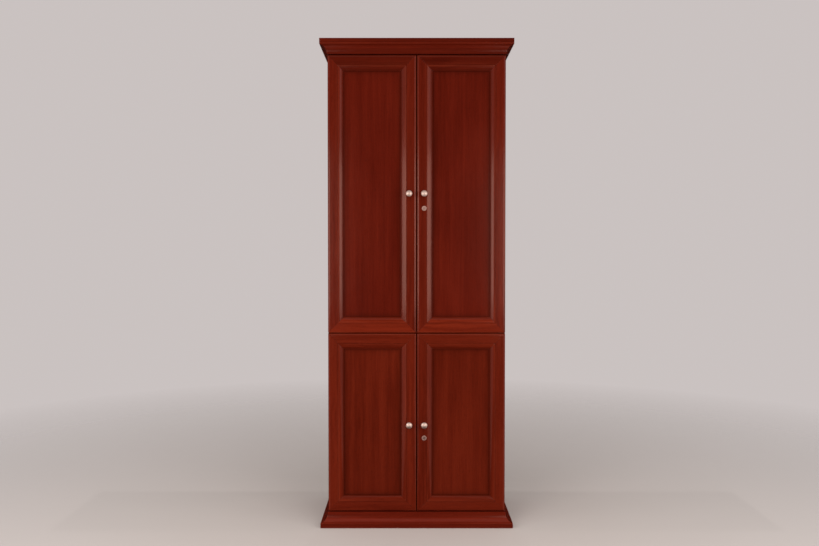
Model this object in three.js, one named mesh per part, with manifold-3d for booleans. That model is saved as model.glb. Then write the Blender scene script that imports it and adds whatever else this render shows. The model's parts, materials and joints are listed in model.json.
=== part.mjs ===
// A tall office cabinet: two pairs of framed doors, one over the other, between a cove cornice and a
// cove plinth. Millimetres. X runs across, Y from the front to the back, Z up, and the origin is the
// middle of the underside.
import * as THREE from 'three';
import { mergeVertices } from 'three/addons/utils/BufferGeometryUtils.js';
import Module from 'manifold-3d';

const wasm = await Module();
wasm.setup();

// Overall sizes
const cabinetHeight = 2000;
const carcassWidth = 730;
const carcassDepth = 376;
const mouldingReach = 30;
const lowerDoorHeight = 736;

// Boards
const boardThickness = 18;
const capThickness = 18;
const baseThickness = 18;
const boardEasing = 1;
const backThickness = 6;
const backInset = 2;
const rabbetWidth = 9;

// Cornice and plinth mouldings
const corniceHeight = 40;
const corniceLip = 5;
const plinthHeight = 41;
const plinthLip = 2;
const mouldingThinEdge = 3;

// Gaps between fixed pieces, and the overrun that every cutter has past what it cuts
const seam = 0.2;
const mitreGap = 0.3;
const overrun = 5;

// Doors
const doorThickness = 22;
const doorStandOff = 2;
const doorReveal = 3;
const meetingGap = 3;
const frameWidth = 65;
const edgeRoundWidth = 9;
const edgeRoundDepth = 7;
const backArris = 2.5;
const quirkWidth = 1.5;
const quirkDepth = 1.6;
const ovoloWidth = 18.5;
const ovoloShoulder = 0.7;
const ovoloFullness = [[0.46, 0.2], [0.865, 0.425]];
const lipWidth = 5;
const lipDepth = 8;
const panelRecess = 10;
const panelThickness = 6;
const panelPlay = 0.2;
const grooveDepth = 9;
const panelExpansionGap = 1;

// Shelves and their pins
const shelfSetback = 25;
const shelfSideGap = 1;
const shelfBackGap = 2;
const upperShelfCount = 2;
const lowerShelfCount = 1;
const pinRadius = 2.5;
const pinLength = 8;
const pinInset = 45;
const pinHoleDepth = 10;
const pinHolePitch = 32;
const spareHolesEachWay = 2;

// Concealed hinges
const upperHingeCount = 3;
const lowerHingeCount = 2;
const hingeEndDistance = 100;
const hingeInset = 7.5;
const hingePinDepth = 9;
const hingePinRadius = 1.4;
const hingePinPlay = 0.35;
const hingePinSeat = 1.5;
const hingeEyeWall = 0.85;
const cupRadius = 17.5;
const cupRimPlay = 1.9;
const cupFloorPlay = 1.4;
const hookWidth = 8;
const hookReach = 19.5;
const hookLegThickness = 3;
const armWidth = 14;
const armSetback = 9;
const armLength = 60;
const crossPlateHeight = 44;
const crossPlateWidth = 14;
const crossPlateThickness = 3;
const crossPlateSetback = 37;

// Knobs
const knobInset = 29.5;
const upperKnobRise = 572;
const lowerKnobRise = 359;
const knobRadius = 13;
const knobProjection = 24;
const knobHeadDepth = 9;
const knobNeckRadius = 5;
const knobRoseRadius = 8.5;
const knobRoseThickness = 2.5;

// Cam locks
const upperLockDrop = 60;
const lowerLockDrop = 55;
const lockFlangeRadius = 10;
const lockFlangeProud = 2.5;
const lockFlangeChamfer = 0.8;
const lockBarrelRadius = 8;
const lockBarrelPlay = 0.3;
const lockBarrelTail = 1;
const lockNutRadius = 12;
const lockNutThickness = 3;
const lockNutPlay = 1;
const plugRadius = 5.2;
const plugPlay = 0.4;
const plugRecess = 0.4;
const keywayWidth = 2;
const keywayHeight = 7;
const keywayDepth = 8;
const camPlay = 0.3;
const camThickness = 2.5;
const camWidth = 14;
const camReach = 40;
const camTipWidth = 10;
const camNutRadius = 6;
const camNutThickness = 3.5;

// Slide bolts
const boltInset = 32.5;
const boltPlateThickness = 2;
const boltPlateWidth = 18;
const boltRodRadius = 2.75;
const boltRodPlay = 0.4;
const boltRodStandOff = 10;
const boltGuideHeight = 9;
const boltGuideWidth = 11;
const boltGuideWall = 2;
const boltTravel = 12;
const boltRest = 2.5;
const boltShown = 7;
const boltTail = 3;
const boltEndGap = 1;
const boltStudRadius = 2.5;
const boltStudLength = 9;
const boltHolePlay = 1;

// How finely round things are faceted
const roundSides = 24;
const largeRoundSides = 32;
const smallRoundSides = 10;
const hexSides = 6;
const curveSteps = 5;

// Planes and levels that several pieces share
const halfTurn = Math.PI;
const quarterTurn = halfTurn / 2;
const sideOuter = carcassWidth / 2;
const sideInner = sideOuter - boardThickness;
const doorSetForward = doorStandOff + doorThickness;
const overallDepth = carcassDepth + doorSetForward + mouldingReach;
const backPlane = overallDepth / 2;
const carcassFront = backPlane - carcassDepth;
const doorBack = carcassFront - doorStandOff;
const doorFront = doorBack - doorThickness;
const backPanelFront = backPlane - backInset - backThickness;
const plinthTop = baseThickness + plinthHeight;
const corniceBottom = cabinetHeight - capThickness - corniceHeight;
const lowerDoorBottom = plinthTop + doorReveal;
const lowerDoorTop = lowerDoorBottom + lowerDoorHeight;
const upperDoorBottom = lowerDoorTop + doorReveal;
const upperDoorTop = corniceBottom - doorReveal;
const doorWidth = sideOuter - meetingGap / 2;
const dividerMiddle = lowerDoorTop + doorReveal / 2;
const bottomBoardTop = plinthTop + boardThickness;
const dividerUnderside = dividerMiddle - boardThickness / 2;
const dividerTop = dividerUnderside + boardThickness;
const topBoardUnderside = corniceBottom - boardThickness;

// Sizes of the hinge that follow from its pin
const hingeEyeRadius = hingePinRadius + hingePinPlay + hingeEyeWall;
const cupInset = hingeInset - hingeEyeRadius - cupRimPlay + cupRadius;
const cupDepth = hingePinDepth + hingeEyeRadius + cupFloorPlay;
const hingeAxisX = sideOuter - hingeInset;
const hingeAxisY = doorBack - hingePinDepth;

// Solids and geometries
function toSolid(geometry) {
  const bare = geometry.clone();
  bare.deleteAttribute('normal');
  bare.deleteAttribute('uv');
  const merged = mergeVertices(bare);
  const vertProperties = new Float32Array(merged.attributes.position.array);
  const triVerts = new Uint32Array(merged.index.array);
  return new wasm.Manifold(new wasm.Mesh({ numProp: 3, vertProperties, triVerts }));
}

function toGeometry(solid) {
  const mesh = solid.getMesh();
  const geometry = new THREE.BufferGeometry();
  const positions = new Float32Array(mesh.vertProperties);
  geometry.setAttribute('position', new THREE.BufferAttribute(positions, mesh.numProp));
  geometry.setIndex(new THREE.BufferAttribute(new Uint32Array(mesh.triVerts), 1));
  return geometry;
}

function join(first, ...others) {
  return toGeometry(others.reduce((sum, other) => sum.add(toSolid(other)), toSolid(first)));
}

function cut(body, ...tools) {
  return toGeometry(tools.reduce((rest, tool) => rest.subtract(toSolid(tool)), toSolid(body)));
}

function common(first, second) {
  return toGeometry(toSolid(first).intersect(toSolid(second)));
}

// A box between two opposite corners
function block([x0, y0, z0], [x1, y1, z1]) {
  const box = new THREE.BoxGeometry(x1 - x0, y1 - y0, z1 - z0);
  return box.translate((x0 + x1) / 2, (y0 + y1) / 2, (z0 + z1) / 2);
}

// Round bars and bores along each axis, between two places on it
function barAlongX(radius, x0, x1, y, z, sides) {
  const bar = new THREE.CylinderGeometry(radius, radius, x1 - x0, sides);
  return bar.rotateZ(quarterTurn).translate((x0 + x1) / 2, y, z);
}

function barAlongY(radius, y0, y1, x, z, sides) {
  const bar = new THREE.CylinderGeometry(radius, radius, y1 - y0, sides);
  return bar.translate(x, (y0 + y1) / 2, z);
}

function barAlongZ(radius, z0, z1, x, y, sides) {
  const bar = new THREE.CylinderGeometry(radius, radius, z1 - z0, sides);
  return bar.rotateX(quarterTurn).translate(x, y, (z0 + z1) / 2);
}

// An outline seen from above, raised from one level to another
function raised(outline, z0, z1) {
  const settings = { depth: z1 - z0, bevelEnabled: false, curveSegments: curveSteps };
  return new THREE.ExtrudeGeometry(outline, settings).translate(0, 0, z0);
}

function outlineOf(points) {
  return new THREE.Shape(points.map(([x, y]) => new THREE.Vector2(x, y)));
}

// Finishes
function finish(color, roughness, metalness) {
  return new THREE.MeshStandardMaterial({ color, roughness, metalness, flatShading: true });
}

const lacquer = finish('#5e1a10', 0.35, 0);
const doorLacquer = finish('#641c12', 0.32, 0);
const laminate = finish('#6a2a1c', 0.5, 0);
const hardboard = finish('#5a2418', 0.7, 0);
const satinChrome = finish('#d9cdc2', 0.25, 1);
const platedSteel = finish('#b9b4ad', 0.35, 1);

const cabinet = new THREE.Group();

function piece(name, geometry, material, parent = cabinet) {
  geometry.computeVertexNormals();
  const mesh = new THREE.Mesh(geometry, material);
  mesh.name = name;
  parent.add(mesh);
  return mesh;
}

// Cap and base: flat boards that reach out over the doors and sides, with eased edges
function easedBoard(thickness) {
  const halfWidth = sideOuter + mouldingReach;
  const outline = outlineOf([
    [-halfWidth, -backPlane],
    [halfWidth, -backPlane],
    [halfWidth, backPlane],
    [-halfWidth, backPlane],
  ]);
  const settings = {
    depth: thickness - 2 * boardEasing,
    bevelThickness: boardEasing,
    bevelSize: boardEasing,
    bevelOffset: -boardEasing,
    bevelSegments: 2,
  };
  return new THREE.ExtrudeGeometry(outline, settings).translate(0, 0, boardEasing);
}

// Cove moulding: a hollow quarter curve from a thin edge to a lip, as deep at the back as the doors
// stand forward
function coveOutline(backDepth, height, lip, up) {
  const run = mouldingReach - mouldingThinEdge;
  const rise = height - lip - mouldingThinEdge;
  const outline = new THREE.Shape();
  outline.moveTo(-backDepth, 0);
  outline.lineTo(mouldingThinEdge, 0);
  for (let step = 0; step <= 2 * curveSteps; step++) {
    const angle = quarterTurn * step / (2 * curveSteps);
    const out = mouldingReach - run * Math.cos(angle);
    outline.lineTo(out, up * (mouldingThinEdge + rise * Math.sin(angle)));
  }
  outline.lineTo(mouldingReach, up * height);
  outline.lineTo(-backDepth, up * height);
  return outline;
}

// Plan of the three lengths of a moulding, mitred at the front corners
function frontMouldingPlan() {
  const reachOut = sideOuter + mouldingReach;
  const reachForward = doorFront - mouldingReach;
  return outlineOf([
    [-sideOuter, carcassFront - seam],
    [-sideOuter, doorFront],
    [-reachOut, reachForward],
    [reachOut, reachForward],
    [sideOuter, doorFront],
    [sideOuter, carcassFront - seam],
  ]);
}

function sideMouldingPlan(side) {
  const reachOut = sideOuter + mouldingReach;
  return outlineOf([
    [side * (sideOuter + seam), backPlane],
    [side * (sideOuter + seam), doorFront + mitreGap - seam],
    [side * reachOut, doorFront - mouldingReach + mitreGap],
    [side * reachOut, backPlane],
  ]);
}

function moulding(plan, outward, wallPlane, backDepth, { level, height, lip, up }) {
  const length = 2 * (carcassWidth + overallDepth);
  const outline = coveOutline(backDepth, height, lip, up);
  const bar = new THREE.ExtrudeGeometry(outline, { depth: length, bevelEnabled: false });
  const upward = new THREE.Vector3(0, 0, 1);
  const along = new THREE.Vector3().crossVectors(outward, upward);
  bar.translate(wallPlane, 0, -length / 2);
  bar.applyMatrix4(new THREE.Matrix4().makeBasis(outward, upward, along));
  bar.translate(0, 0, level);
  return common(bar, raised(plan, level - 2 * height, level + 2 * height));
}

function addMouldings(name, sizes) {
  const forward = new THREE.Vector3(0, -1, 0);
  piece(`${name}_front`, moulding(frontMouldingPlan(), forward, -doorFront, doorSetForward, sizes), lacquer);
  for (const [label, side] of [['left', -1], ['right', 1]]) {
    const outward = new THREE.Vector3(side, 0, 0);
    piece(`${name}_${label}`, moulding(sideMouldingPlan(side), outward, sideOuter, 0, sizes), lacquer);
  }
}

// Levels of the shelves in a space that they divide evenly
function shelfUndersides(floor, ceiling, count) {
  const clear = (ceiling - floor - count * boardThickness) / (count + 1);
  return Array.from({ length: count }, (_, index) => floor + clear + index * (clear + boardThickness));
}

const upperShelves = shelfUndersides(dividerTop, topBoardUnderside, upperShelfCount);
const lowerShelves = shelfUndersides(bottomBoardTop, dividerUnderside, lowerShelfCount);
const shelfFront = carcassFront + shelfSetback;
const shelfBack = backPanelFront - shelfBackGap;
const pinRows = [shelfFront + pinInset, shelfBack - pinInset];

// Side panel: rabbeted at the back for the back panel, with shelf pins and spare pin holes inside
function sidePanel(side) {
  const outline = outlineOf([
    [side * sideInner, carcassFront],
    [side * sideOuter, carcassFront],
    [side * sideOuter, backPlane],
    [side * (sideInner + rabbetWidth), backPlane],
    [side * (sideInner + rabbetWidth), backPanelFront - seam],
    [side * sideInner, backPanelFront - seam],
  ]);
  const panel = raised(outline, baseThickness + seam, cabinetHeight - capThickness - seam);
  const pins = [];
  const holes = [];
  const holeEnds = [side * (sideInner + pinHoleDepth), side * (sideInner - overrun)].sort((a, b) => a - b);
  const pinEnds = [side * (sideInner + pinHoleDepth), side * (sideInner - pinLength)].sort((a, b) => a - b);
  for (const underside of [...lowerShelves, ...upperShelves]) {
    const level = underside - seam - pinRadius;
    for (const y of pinRows) {
      pins.push(barAlongX(pinRadius, ...pinEnds, y, level, smallRoundSides));
      for (let step = 1; step <= spareHolesEachWay; step++) {
        for (const way of [-1, 1]) {
          const height = level + way * step * pinHolePitch;
          holes.push(barAlongX(pinRadius, ...holeEnds, y, height, smallRoundSides));
        }
      }
    }
  }
  return join(cut(panel, ...holes), ...pins);
}

// Boards that run between the sides, from the front of the carcass to the back panel
function fixedBoard(underside) {
  return block(
    [seam - sideInner, carcassFront, underside],
    [sideInner - seam, backPanelFront - seam, underside + boardThickness],
  );
}

function shelf(underside) {
  return block(
    [shelfSideGap - sideInner, shelfFront, underside],
    [sideInner - shelfSideGap, shelfBack, underside + boardThickness],
  );
}

function backPanel() {
  const halfWidth = sideInner + rabbetWidth - seam;
  return block(
    [-halfWidth, backPanelFront, baseThickness + seam],
    [halfWidth, backPanelFront + backThickness, cabinetHeight - capThickness - seam],
  );
}

// Where the slide bolts stand, on the left-hand doors
const boltX = -meetingGap / 2 - boltInset;
const boltY = doorBack + boltRodStandOff;

function boardWithBoltHole(underside) {
  const radius = boltRodRadius + boltHolePlay;
  const ends = [underside - overrun, underside + boardThickness + overrun];
  return cut(fixedBoard(underside), barAlongZ(radius, ...ends, boltX, boltY, roundSides));
}

function addCarcass() {
  piece('base_board', easedBoard(baseThickness), lacquer);
  addMouldings('base_moulding', { level: plinthTop, height: plinthHeight - seam, lip: plinthLip, up: -1 });
  piece('side_panel_left', sidePanel(-1), lacquer);
  piece('side_panel_right', sidePanel(1), lacquer);
  piece('bottom_board', fixedBoard(plinthTop), lacquer);
  piece('divider_board', boardWithBoltHole(dividerUnderside), lacquer);
  piece('top_board', boardWithBoltHole(topBoardUnderside), lacquer);
  piece('back_panel', backPanel(), hardboard);
  lowerShelves.forEach((level, index) => piece(`lower_shelf_${index + 1}`, shelf(level), laminate));
  upperShelves.forEach((level, index) => piece(`upper_shelf_${index + 1}`, shelf(level), laminate));
  addMouldings('cornice', { level: corniceBottom, height: corniceHeight - seam, lip: corniceLip, up: 1 });
  const cap = piece('cap_board', easedBoard(capThickness), lacquer);
  cap.position.z = cabinetHeight - capThickness;
}

// Door frame section, from the outer edge inwards (x) and from the face to the back (y): a rounded
// outer edge, a flat, a fine quirk, and an ovolo that falls to a lip over the panel
function frameSection() {
  const ovoloEnd = frameWidth - lipWidth;
  const ovoloStart = ovoloEnd - ovoloWidth;
  const ovoloDrop = lipDepth - ovoloShoulder;
  const bends = ovoloFullness.map(([across, down]) => [
    ovoloStart + across * ovoloWidth,
    ovoloShoulder + down * ovoloDrop,
  ]);
  const grooveFloor = frameWidth - grooveDepth;
  const grooveBack = panelRecess + panelThickness + 2 * panelPlay;
  const section = new THREE.Shape();
  section.moveTo(0, doorThickness - backArris);
  section.lineTo(0, edgeRoundDepth);
  const roundOver = [edgeRoundWidth, edgeRoundDepth];
  section.absellipse(...roundOver, ...roundOver, halfTurn, halfTurn + quarterTurn, false);
  section.lineTo(ovoloStart - quirkWidth, 0);
  section.lineTo(ovoloStart - quirkWidth / 2, quirkDepth);
  section.lineTo(ovoloStart, ovoloShoulder);
  section.bezierCurveTo(...bends.flat(), ovoloEnd, lipDepth);
  section.lineTo(frameWidth, lipDepth);
  section.lineTo(frameWidth, panelRecess);
  section.lineTo(grooveFloor, panelRecess);
  section.lineTo(grooveFloor, grooveBack);
  section.lineTo(frameWidth, grooveBack);
  section.lineTo(frameWidth, doorThickness);
  section.lineTo(backArris, doorThickness);
  return section;
}

// One length of the frame, with both ends cut at 45 degrees. Turns 0 to 3 are the left, top, right
// and bottom
function frameMember(width, height, turn) {
  const upright = turn % 2 === 0;
  const length = upright ? height : width;
  const span = upright ? width : height;
  const settings = { depth: 1, bevelEnabled: false, curveSegments: curveSteps };
  const member = new THREE.ExtrudeGeometry(frameSection(), settings);
  const places = member.attributes.position;
  for (let index = 0; index < places.count; index++) {
    const end = places.getZ(index) > 0 ? 1 : -1;
    places.setZ(index, end * (length / 2 - places.getX(index) - mitreGap / 2));
  }
  return member.translate(-span / 2, 0, 0).rotateY(turn * quarterTurn);
}

function doorPanel(width, height) {
  const tuck = frameWidth - grooveDepth + panelExpansionGap;
  const front = panelRecess + panelPlay;
  return block(
    [tuck - width / 2, front, tuck - height / 2],
    [width / 2 - tuck, front + panelThickness, height / 2 - tuck],
  );
}

// Heights of a door's hinges from its middle
function hingeLevels(height, count) {
  const reach = height - 2 * hingeEndDistance;
  return Array.from({ length: count }, (_, index) => reach * (index / (count - 1) - 1 / 2));
}

// Stile on the hinge side: bored for the hinge cups, each with the pin that its arm turns on
function hingeStile(width, height, side, levels) {
  const stile = frameMember(width, height, side < 0 ? 0 : 2);
  const cupX = side * (width / 2 - cupInset);
  const pinX = side * (width / 2 - hingeInset);
  const pinY = doorThickness - hingePinDepth;
  const halfChord = Math.sqrt(cupRadius ** 2 - (cupInset - hingeInset) ** 2);
  const halfPin = halfChord + hingePinSeat;
  const cupEnds = [doorThickness - cupDepth, doorThickness + overrun];
  const cups = levels.map((z) => barAlongY(cupRadius, ...cupEnds, cupX, z, largeRoundSides));
  const pins = levels.map((z) => (
    barAlongZ(hingePinRadius, z - halfPin, z + halfPin, pinX, pinY, smallRoundSides)
  ));
  return join(cut(stile, ...cups), ...pins);
}

// Meeting stile of a right-hand door: bored for its lock, with a recess at the back for the lock's nut
function lockStile(width, height, side, lockX, lockZ) {
  const stile = frameMember(width, height, side < 0 ? 2 : 0);
  const recess = doorThickness - lockNutThickness - lockBarrelTail;
  const behind = doorThickness + overrun;
  const bore = barAlongY(lockBarrelRadius + lockBarrelPlay, -overrun, behind, lockX, lockZ, roundSides);
  const nutSeat = barAlongY(lockNutRadius + lockNutPlay, recess, behind, lockX, lockZ, roundSides);
  return cut(stile, bore, nutSeat);
}

// Knob: a domed head on a waisted neck and a small rose, turned about the axis that stands out of the door
function knob() {
  const headBack = knobHeadDepth - knobProjection;
  const waist = (headBack - knobRoseThickness) / 2;
  const brim = headBack - knobHeadDepth / 4;
  const domeBends = [knobRadius / 2, -knobProjection, knobRadius, headBack - knobHeadDepth / 2];
  const profile = new THREE.Path();
  profile.moveTo(0, -knobProjection);
  profile.bezierCurveTo(...domeBends, knobRadius, brim);
  profile.quadraticCurveTo(knobRadius, headBack, knobNeckRadius, waist);
  profile.quadraticCurveTo(knobNeckRadius, -knobRoseThickness, knobRoseRadius, -knobRoseThickness);
  profile.lineTo(knobRoseRadius, -seam);
  profile.lineTo(0, -seam);
  return new THREE.LatheGeometry(profile.getPoints(curveSteps), roundSides);
}

// Lock housing: a flanged barrel through the stile, held by a six-sided nut let into the back of the stile
function lockHousing() {
  const end = doorThickness + lockBarrelTail;
  const nutFront = doorThickness - lockNutThickness - lockBarrelTail + seam;
  const profile = [
    [0, -lockFlangeProud],
    [lockFlangeRadius - lockFlangeChamfer, -lockFlangeProud],
    [lockFlangeRadius, lockFlangeChamfer - lockFlangeProud],
    [lockFlangeRadius, -seam],
    [lockBarrelRadius, -seam],
    [lockBarrelRadius, end],
    [0, end],
  ];
  const body = new THREE.LatheGeometry(profile.map(([r, y]) => new THREE.Vector2(r, y)), roundSides);
  const nut = barAlongY(lockNutRadius, nutFront, nutFront + lockNutThickness, 0, 0, hexSides);
  const bore = barAlongY(plugRadius + plugPlay, -lockFlangeProud - overrun, end + overrun, 0, 0, roundSides);
  return cut(join(body, nut), bore);
}

// Lock plug with its keyway in front and its cam behind, which hangs down when the lock is open
function lockCam() {
  const front = plugRecess - lockFlangeProud;
  const camFront = doorThickness + lockBarrelTail + camPlay;
  const camBack = camFront + camThickness;
  const plug = barAlongY(plugRadius, front, camFront + camThickness / 2, 0, 0, roundSides);
  const outline = new THREE.Shape();
  outline.absarc(0, 0, camWidth / 2, 0, halfTurn, false);
  outline.lineTo(-camTipWidth / 2, -camReach);
  outline.lineTo(camTipWidth / 2, -camReach);
  const settings = { depth: camThickness, bevelEnabled: false, curveSegments: curveSteps };
  const plate = new THREE.ExtrudeGeometry(outline, settings);
  plate.rotateX(quarterTurn).translate(0, camBack, 0);
  const nut = barAlongY(camNutRadius, camBack - camThickness / 2, camBack + camNutThickness, 0, 0, hexSides);
  const keyway = block(
    [-keywayWidth / 2, front - overrun, -keywayHeight / 2],
    [keywayWidth / 2, front + keywayDepth, keywayHeight / 2],
  );
  return cut(join(plug, plate, nut), keyway);
}

// Slide bolt: a rod in two guides on a back plate, with a thumb stud between them
const boltGuideGap = 2 * boltStudRadius + boltTravel + 2 * boltEndGap;
const boltRodBore = boltRodRadius + boltRodPlay;

function boltGuide() {
  const plateHeight = 2 * boltGuideHeight + boltGuideGap;
  const guideBack = boltRodStandOff + boltRodBore + boltGuideWall;
  const plate = block(
    [-boltPlateWidth / 2, seam, -plateHeight],
    [boltPlateWidth / 2, seam + boltPlateThickness, 0],
  );
  const guides = [0, boltGuideHeight + boltGuideGap].map((drop) => block(
    [-boltGuideWidth / 2, seam, -drop - boltGuideHeight],
    [boltGuideWidth / 2, guideBack, -drop],
  ));
  const bore = barAlongZ(boltRodBore, -plateHeight - overrun, overrun, 0, boltRodStandOff, roundSides);
  return cut(join(plate, ...guides), bore);
}

function boltRod() {
  const bottom = -2 * boltGuideHeight - boltGuideGap - boltTail;
  const studLevel = -boltGuideHeight - boltGuideGap + boltEndGap + boltStudRadius;
  const studEnds = [boltRodStandOff, boltRodStandOff + boltStudLength];
  const rod = barAlongZ(boltRodRadius, bottom, boltShown, 0, boltRodStandOff, roundSides);
  const stud = barAlongY(boltStudRadius, ...studEnds, 0, studLevel, roundSides);
  return join(rod, stud);
}

// A door stands in a group whose origin is the middle of its face
function addDoor(name, side, bottom, top, hingeCount) {
  const height = top - bottom;
  const door = new THREE.Group();
  door.position.set(side * (sideOuter - doorWidth / 2), doorFront, (bottom + top) / 2);
  cabinet.add(door);
  const levels = hingeLevels(height, hingeCount);
  piece(`${name}_hinge_stile`, hingeStile(doorWidth, height, side, levels), doorLacquer, door);
  piece(`${name}_top_rail`, frameMember(doorWidth, height, 1), doorLacquer, door);
  piece(`${name}_bottom_rail`, frameMember(doorWidth, height, 3), doorLacquer, door);
  piece(`${name}_panel`, doorPanel(doorWidth, height), doorLacquer, door);
  return door;
}

// The hardware line: knob, lock and bolt stand one above another near the meeting edge
function meetingX(side, inset) {
  return side * (inset - doorWidth / 2);
}

function addKnob(name, door, side, height, rise) {
  const mesh = piece(name, knob(), satinChrome, door);
  mesh.position.set(meetingX(side, knobInset), 0, rise - height / 2);
}

function addLock(name, door, side, height, rise) {
  for (const [label, geometry] of [['housing', lockHousing()], ['cam', lockCam()]]) {
    const mesh = piece(`${name}_${label}`, geometry, label === 'cam' ? platedSteel : satinChrome, door);
    mesh.position.set(meetingX(side, knobInset), 0, rise - height / 2);
  }
}

function addBolt(name, door, strike) {
  for (const [label, geometry] of [['guide', boltGuide()], ['rod', boltRod()]]) {
    const mesh = piece(`${name}_${label}`, geometry, platedSteel, door);
    const level = strike - boltRest - boltShown - door.position.z;
    mesh.position.set(boltX - door.position.x, doorThickness, level);
  }
}

function addDoorPair({ tier, bottom, top, hingeCount, knobRise, lockDrop, strike }) {
  const height = top - bottom;
  const lockRise = knobRise - lockDrop;
  const left = addDoor(`${tier}_left_door`, -1, bottom, top, hingeCount);
  const right = addDoor(`${tier}_right_door`, 1, bottom, top, hingeCount);
  const plainStile = frameMember(doorWidth, height, 2);
  const boredStile = lockStile(doorWidth, height, 1, meetingX(1, knobInset), lockRise - height / 2);
  piece(`${tier}_left_door_meeting_stile`, plainStile, doorLacquer, left);
  piece(`${tier}_right_door_meeting_stile`, boredStile, doorLacquer, right);
  addKnob(`${tier}_left_knob`, left, -1, height, knobRise);
  addKnob(`${tier}_right_knob`, right, 1, height, knobRise);
  addLock(`${tier}_lock`, right, 1, height, lockRise);
  addBolt(`${tier}_bolt`, left, strike);
}

// Hinge arm, with its origin on the pin: the eye round the pin, the hook out of the cup, and the arm and
// cross plate on the side panel
function hingeArm() {
  const seat = sideInner - seam - hingeAxisX;
  const legInner = -hookReach;
  const legOuter = legInner + hookLegThickness;
  const carcassLine = carcassFront - hingeAxisY;
  const armFront = carcassLine + armSetback;
  const armBack = armFront + armLength;
  const plateMiddle = carcassLine + crossPlateSetback;
  const plan = new THREE.Shape();
  plan.moveTo(legInner, armFront + hookLegThickness);
  plan.lineTo(legInner, -hingeEyeRadius);
  plan.lineTo(0, -hingeEyeRadius);
  plan.absarc(0, 0, hingeEyeRadius, -quarterTurn, quarterTurn, false);
  plan.lineTo(legOuter, hingeEyeRadius);
  plan.lineTo(legOuter, armFront + hookLegThickness);
  const eye = new THREE.Path();
  eye.absarc(0, 0, hingePinRadius + hingePinPlay, 0, 2 * halfTurn, true);
  plan.holes.push(eye);
  const hook = raised(plan, -hookWidth / 2, hookWidth / 2);
  const arm = block([legInner, armFront, -armWidth / 2], [seat, armBack, armWidth / 2]);
  const plate = block(
    [seat - crossPlateThickness, plateMiddle - crossPlateWidth / 2, -crossPlateHeight / 2],
    [seat, plateMiddle + crossPlateWidth / 2, crossPlateHeight / 2],
  );
  return join(hook, arm, plate);
}

function addHingeArms({ tier, bottom, top, hingeCount }) {
  const names = hingeCount > 2 ? ['bottom', 'middle', 'top'] : ['bottom', 'top'];
  hingeLevels(top - bottom, hingeCount).forEach((level, index) => {
    for (const [label, side] of [['left', -1], ['right', 1]]) {
      const mesh = piece(`${tier}_${label}_hinge_arm_${names[index]}`, hingeArm(), platedSteel);
      mesh.position.set(side * hingeAxisX, hingeAxisY, (bottom + top) / 2 + level);
      mesh.rotation.y = side < 0 ? halfTurn : 0;
    }
  });
}

const upperPair = {
  tier: 'upper',
  bottom: upperDoorBottom,
  top: upperDoorTop,
  hingeCount: upperHingeCount,
  knobRise: upperKnobRise,
  lockDrop: upperLockDrop,
  strike: topBoardUnderside,
};
const lowerPair = {
  tier: 'lower',
  bottom: lowerDoorBottom,
  top: lowerDoorTop,
  hingeCount: lowerHingeCount,
  knobRise: lowerKnobRise,
  lockDrop: lowerLockDrop,
  strike: dividerUnderside,
};

addCarcass();
addDoorPair(upperPair);
addDoorPair(lowerPair);
addHingeArms(upperPair);
addHingeArms(lowerPair);

export default cabinet;
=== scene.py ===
import json
import math

import bmesh
import bpy
from mathutils import Matrix, Vector
from mathutils.geometry import convex_hull_2d, tessellate_polygon

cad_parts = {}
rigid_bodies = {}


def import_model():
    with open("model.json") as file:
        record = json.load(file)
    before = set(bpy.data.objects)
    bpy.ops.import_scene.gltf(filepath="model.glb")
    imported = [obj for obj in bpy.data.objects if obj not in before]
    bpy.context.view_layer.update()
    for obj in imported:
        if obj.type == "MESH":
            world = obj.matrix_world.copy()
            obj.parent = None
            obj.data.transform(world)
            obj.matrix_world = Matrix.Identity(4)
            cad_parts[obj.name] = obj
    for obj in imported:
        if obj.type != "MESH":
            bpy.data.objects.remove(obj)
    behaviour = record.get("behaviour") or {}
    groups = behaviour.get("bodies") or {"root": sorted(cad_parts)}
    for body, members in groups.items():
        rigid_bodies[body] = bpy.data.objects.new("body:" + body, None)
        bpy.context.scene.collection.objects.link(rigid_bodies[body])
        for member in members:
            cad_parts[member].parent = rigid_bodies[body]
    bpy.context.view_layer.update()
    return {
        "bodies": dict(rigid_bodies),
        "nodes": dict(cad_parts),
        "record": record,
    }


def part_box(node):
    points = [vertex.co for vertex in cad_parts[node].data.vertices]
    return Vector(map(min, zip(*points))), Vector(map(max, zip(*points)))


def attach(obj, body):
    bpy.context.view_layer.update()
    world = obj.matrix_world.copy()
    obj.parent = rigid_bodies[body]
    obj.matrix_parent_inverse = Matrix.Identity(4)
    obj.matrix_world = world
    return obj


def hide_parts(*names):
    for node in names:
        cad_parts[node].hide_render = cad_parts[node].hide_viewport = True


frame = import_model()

scene = bpy.context.scene
cadNodes = frame["nodes"]
bodyOf = {node: body for body, nodes in frame["record"]["behaviour"]["bodies"].items() for node in nodes}
quarterTurn = math.pi / 2

# Camera, where the photograph was taken from
photoView = {
    "place": (-0.0294, -3.4717, 1.1269),
    "tiltDown": 0.0241,
    "lens": 35.16,
    "sensorWidth": 36.0,
}


def addCamera(view):
    data = bpy.data.cameras.new("camera")
    data.lens, data.sensor_width, data.sensor_fit = view["lens"], view["sensorWidth"], "HORIZONTAL"
    camera = bpy.data.objects.new("camera", data)
    camera.location = view["place"]
    camera.rotation_euler = (quarterTurn - view["tiltDown"], 0, 0)
    scene.collection.objects.link(camera)
    scene.camera = camera


addCamera(photoView)
print("camera set")


# Small helpers for node trees: a value is either a plain one or another node's socket
def add(tree, kind, inputs=None, **settings):
    made = tree.nodes.new(kind)
    for name, value in settings.items():
        setattr(made, name, value)
    for name, value in (inputs or {}).items():
        if isinstance(value, bpy.types.NodeSocket):
            tree.links.new(value, made.inputs[name])
        else:
            made.inputs[name].default_value = value
    return made


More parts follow.
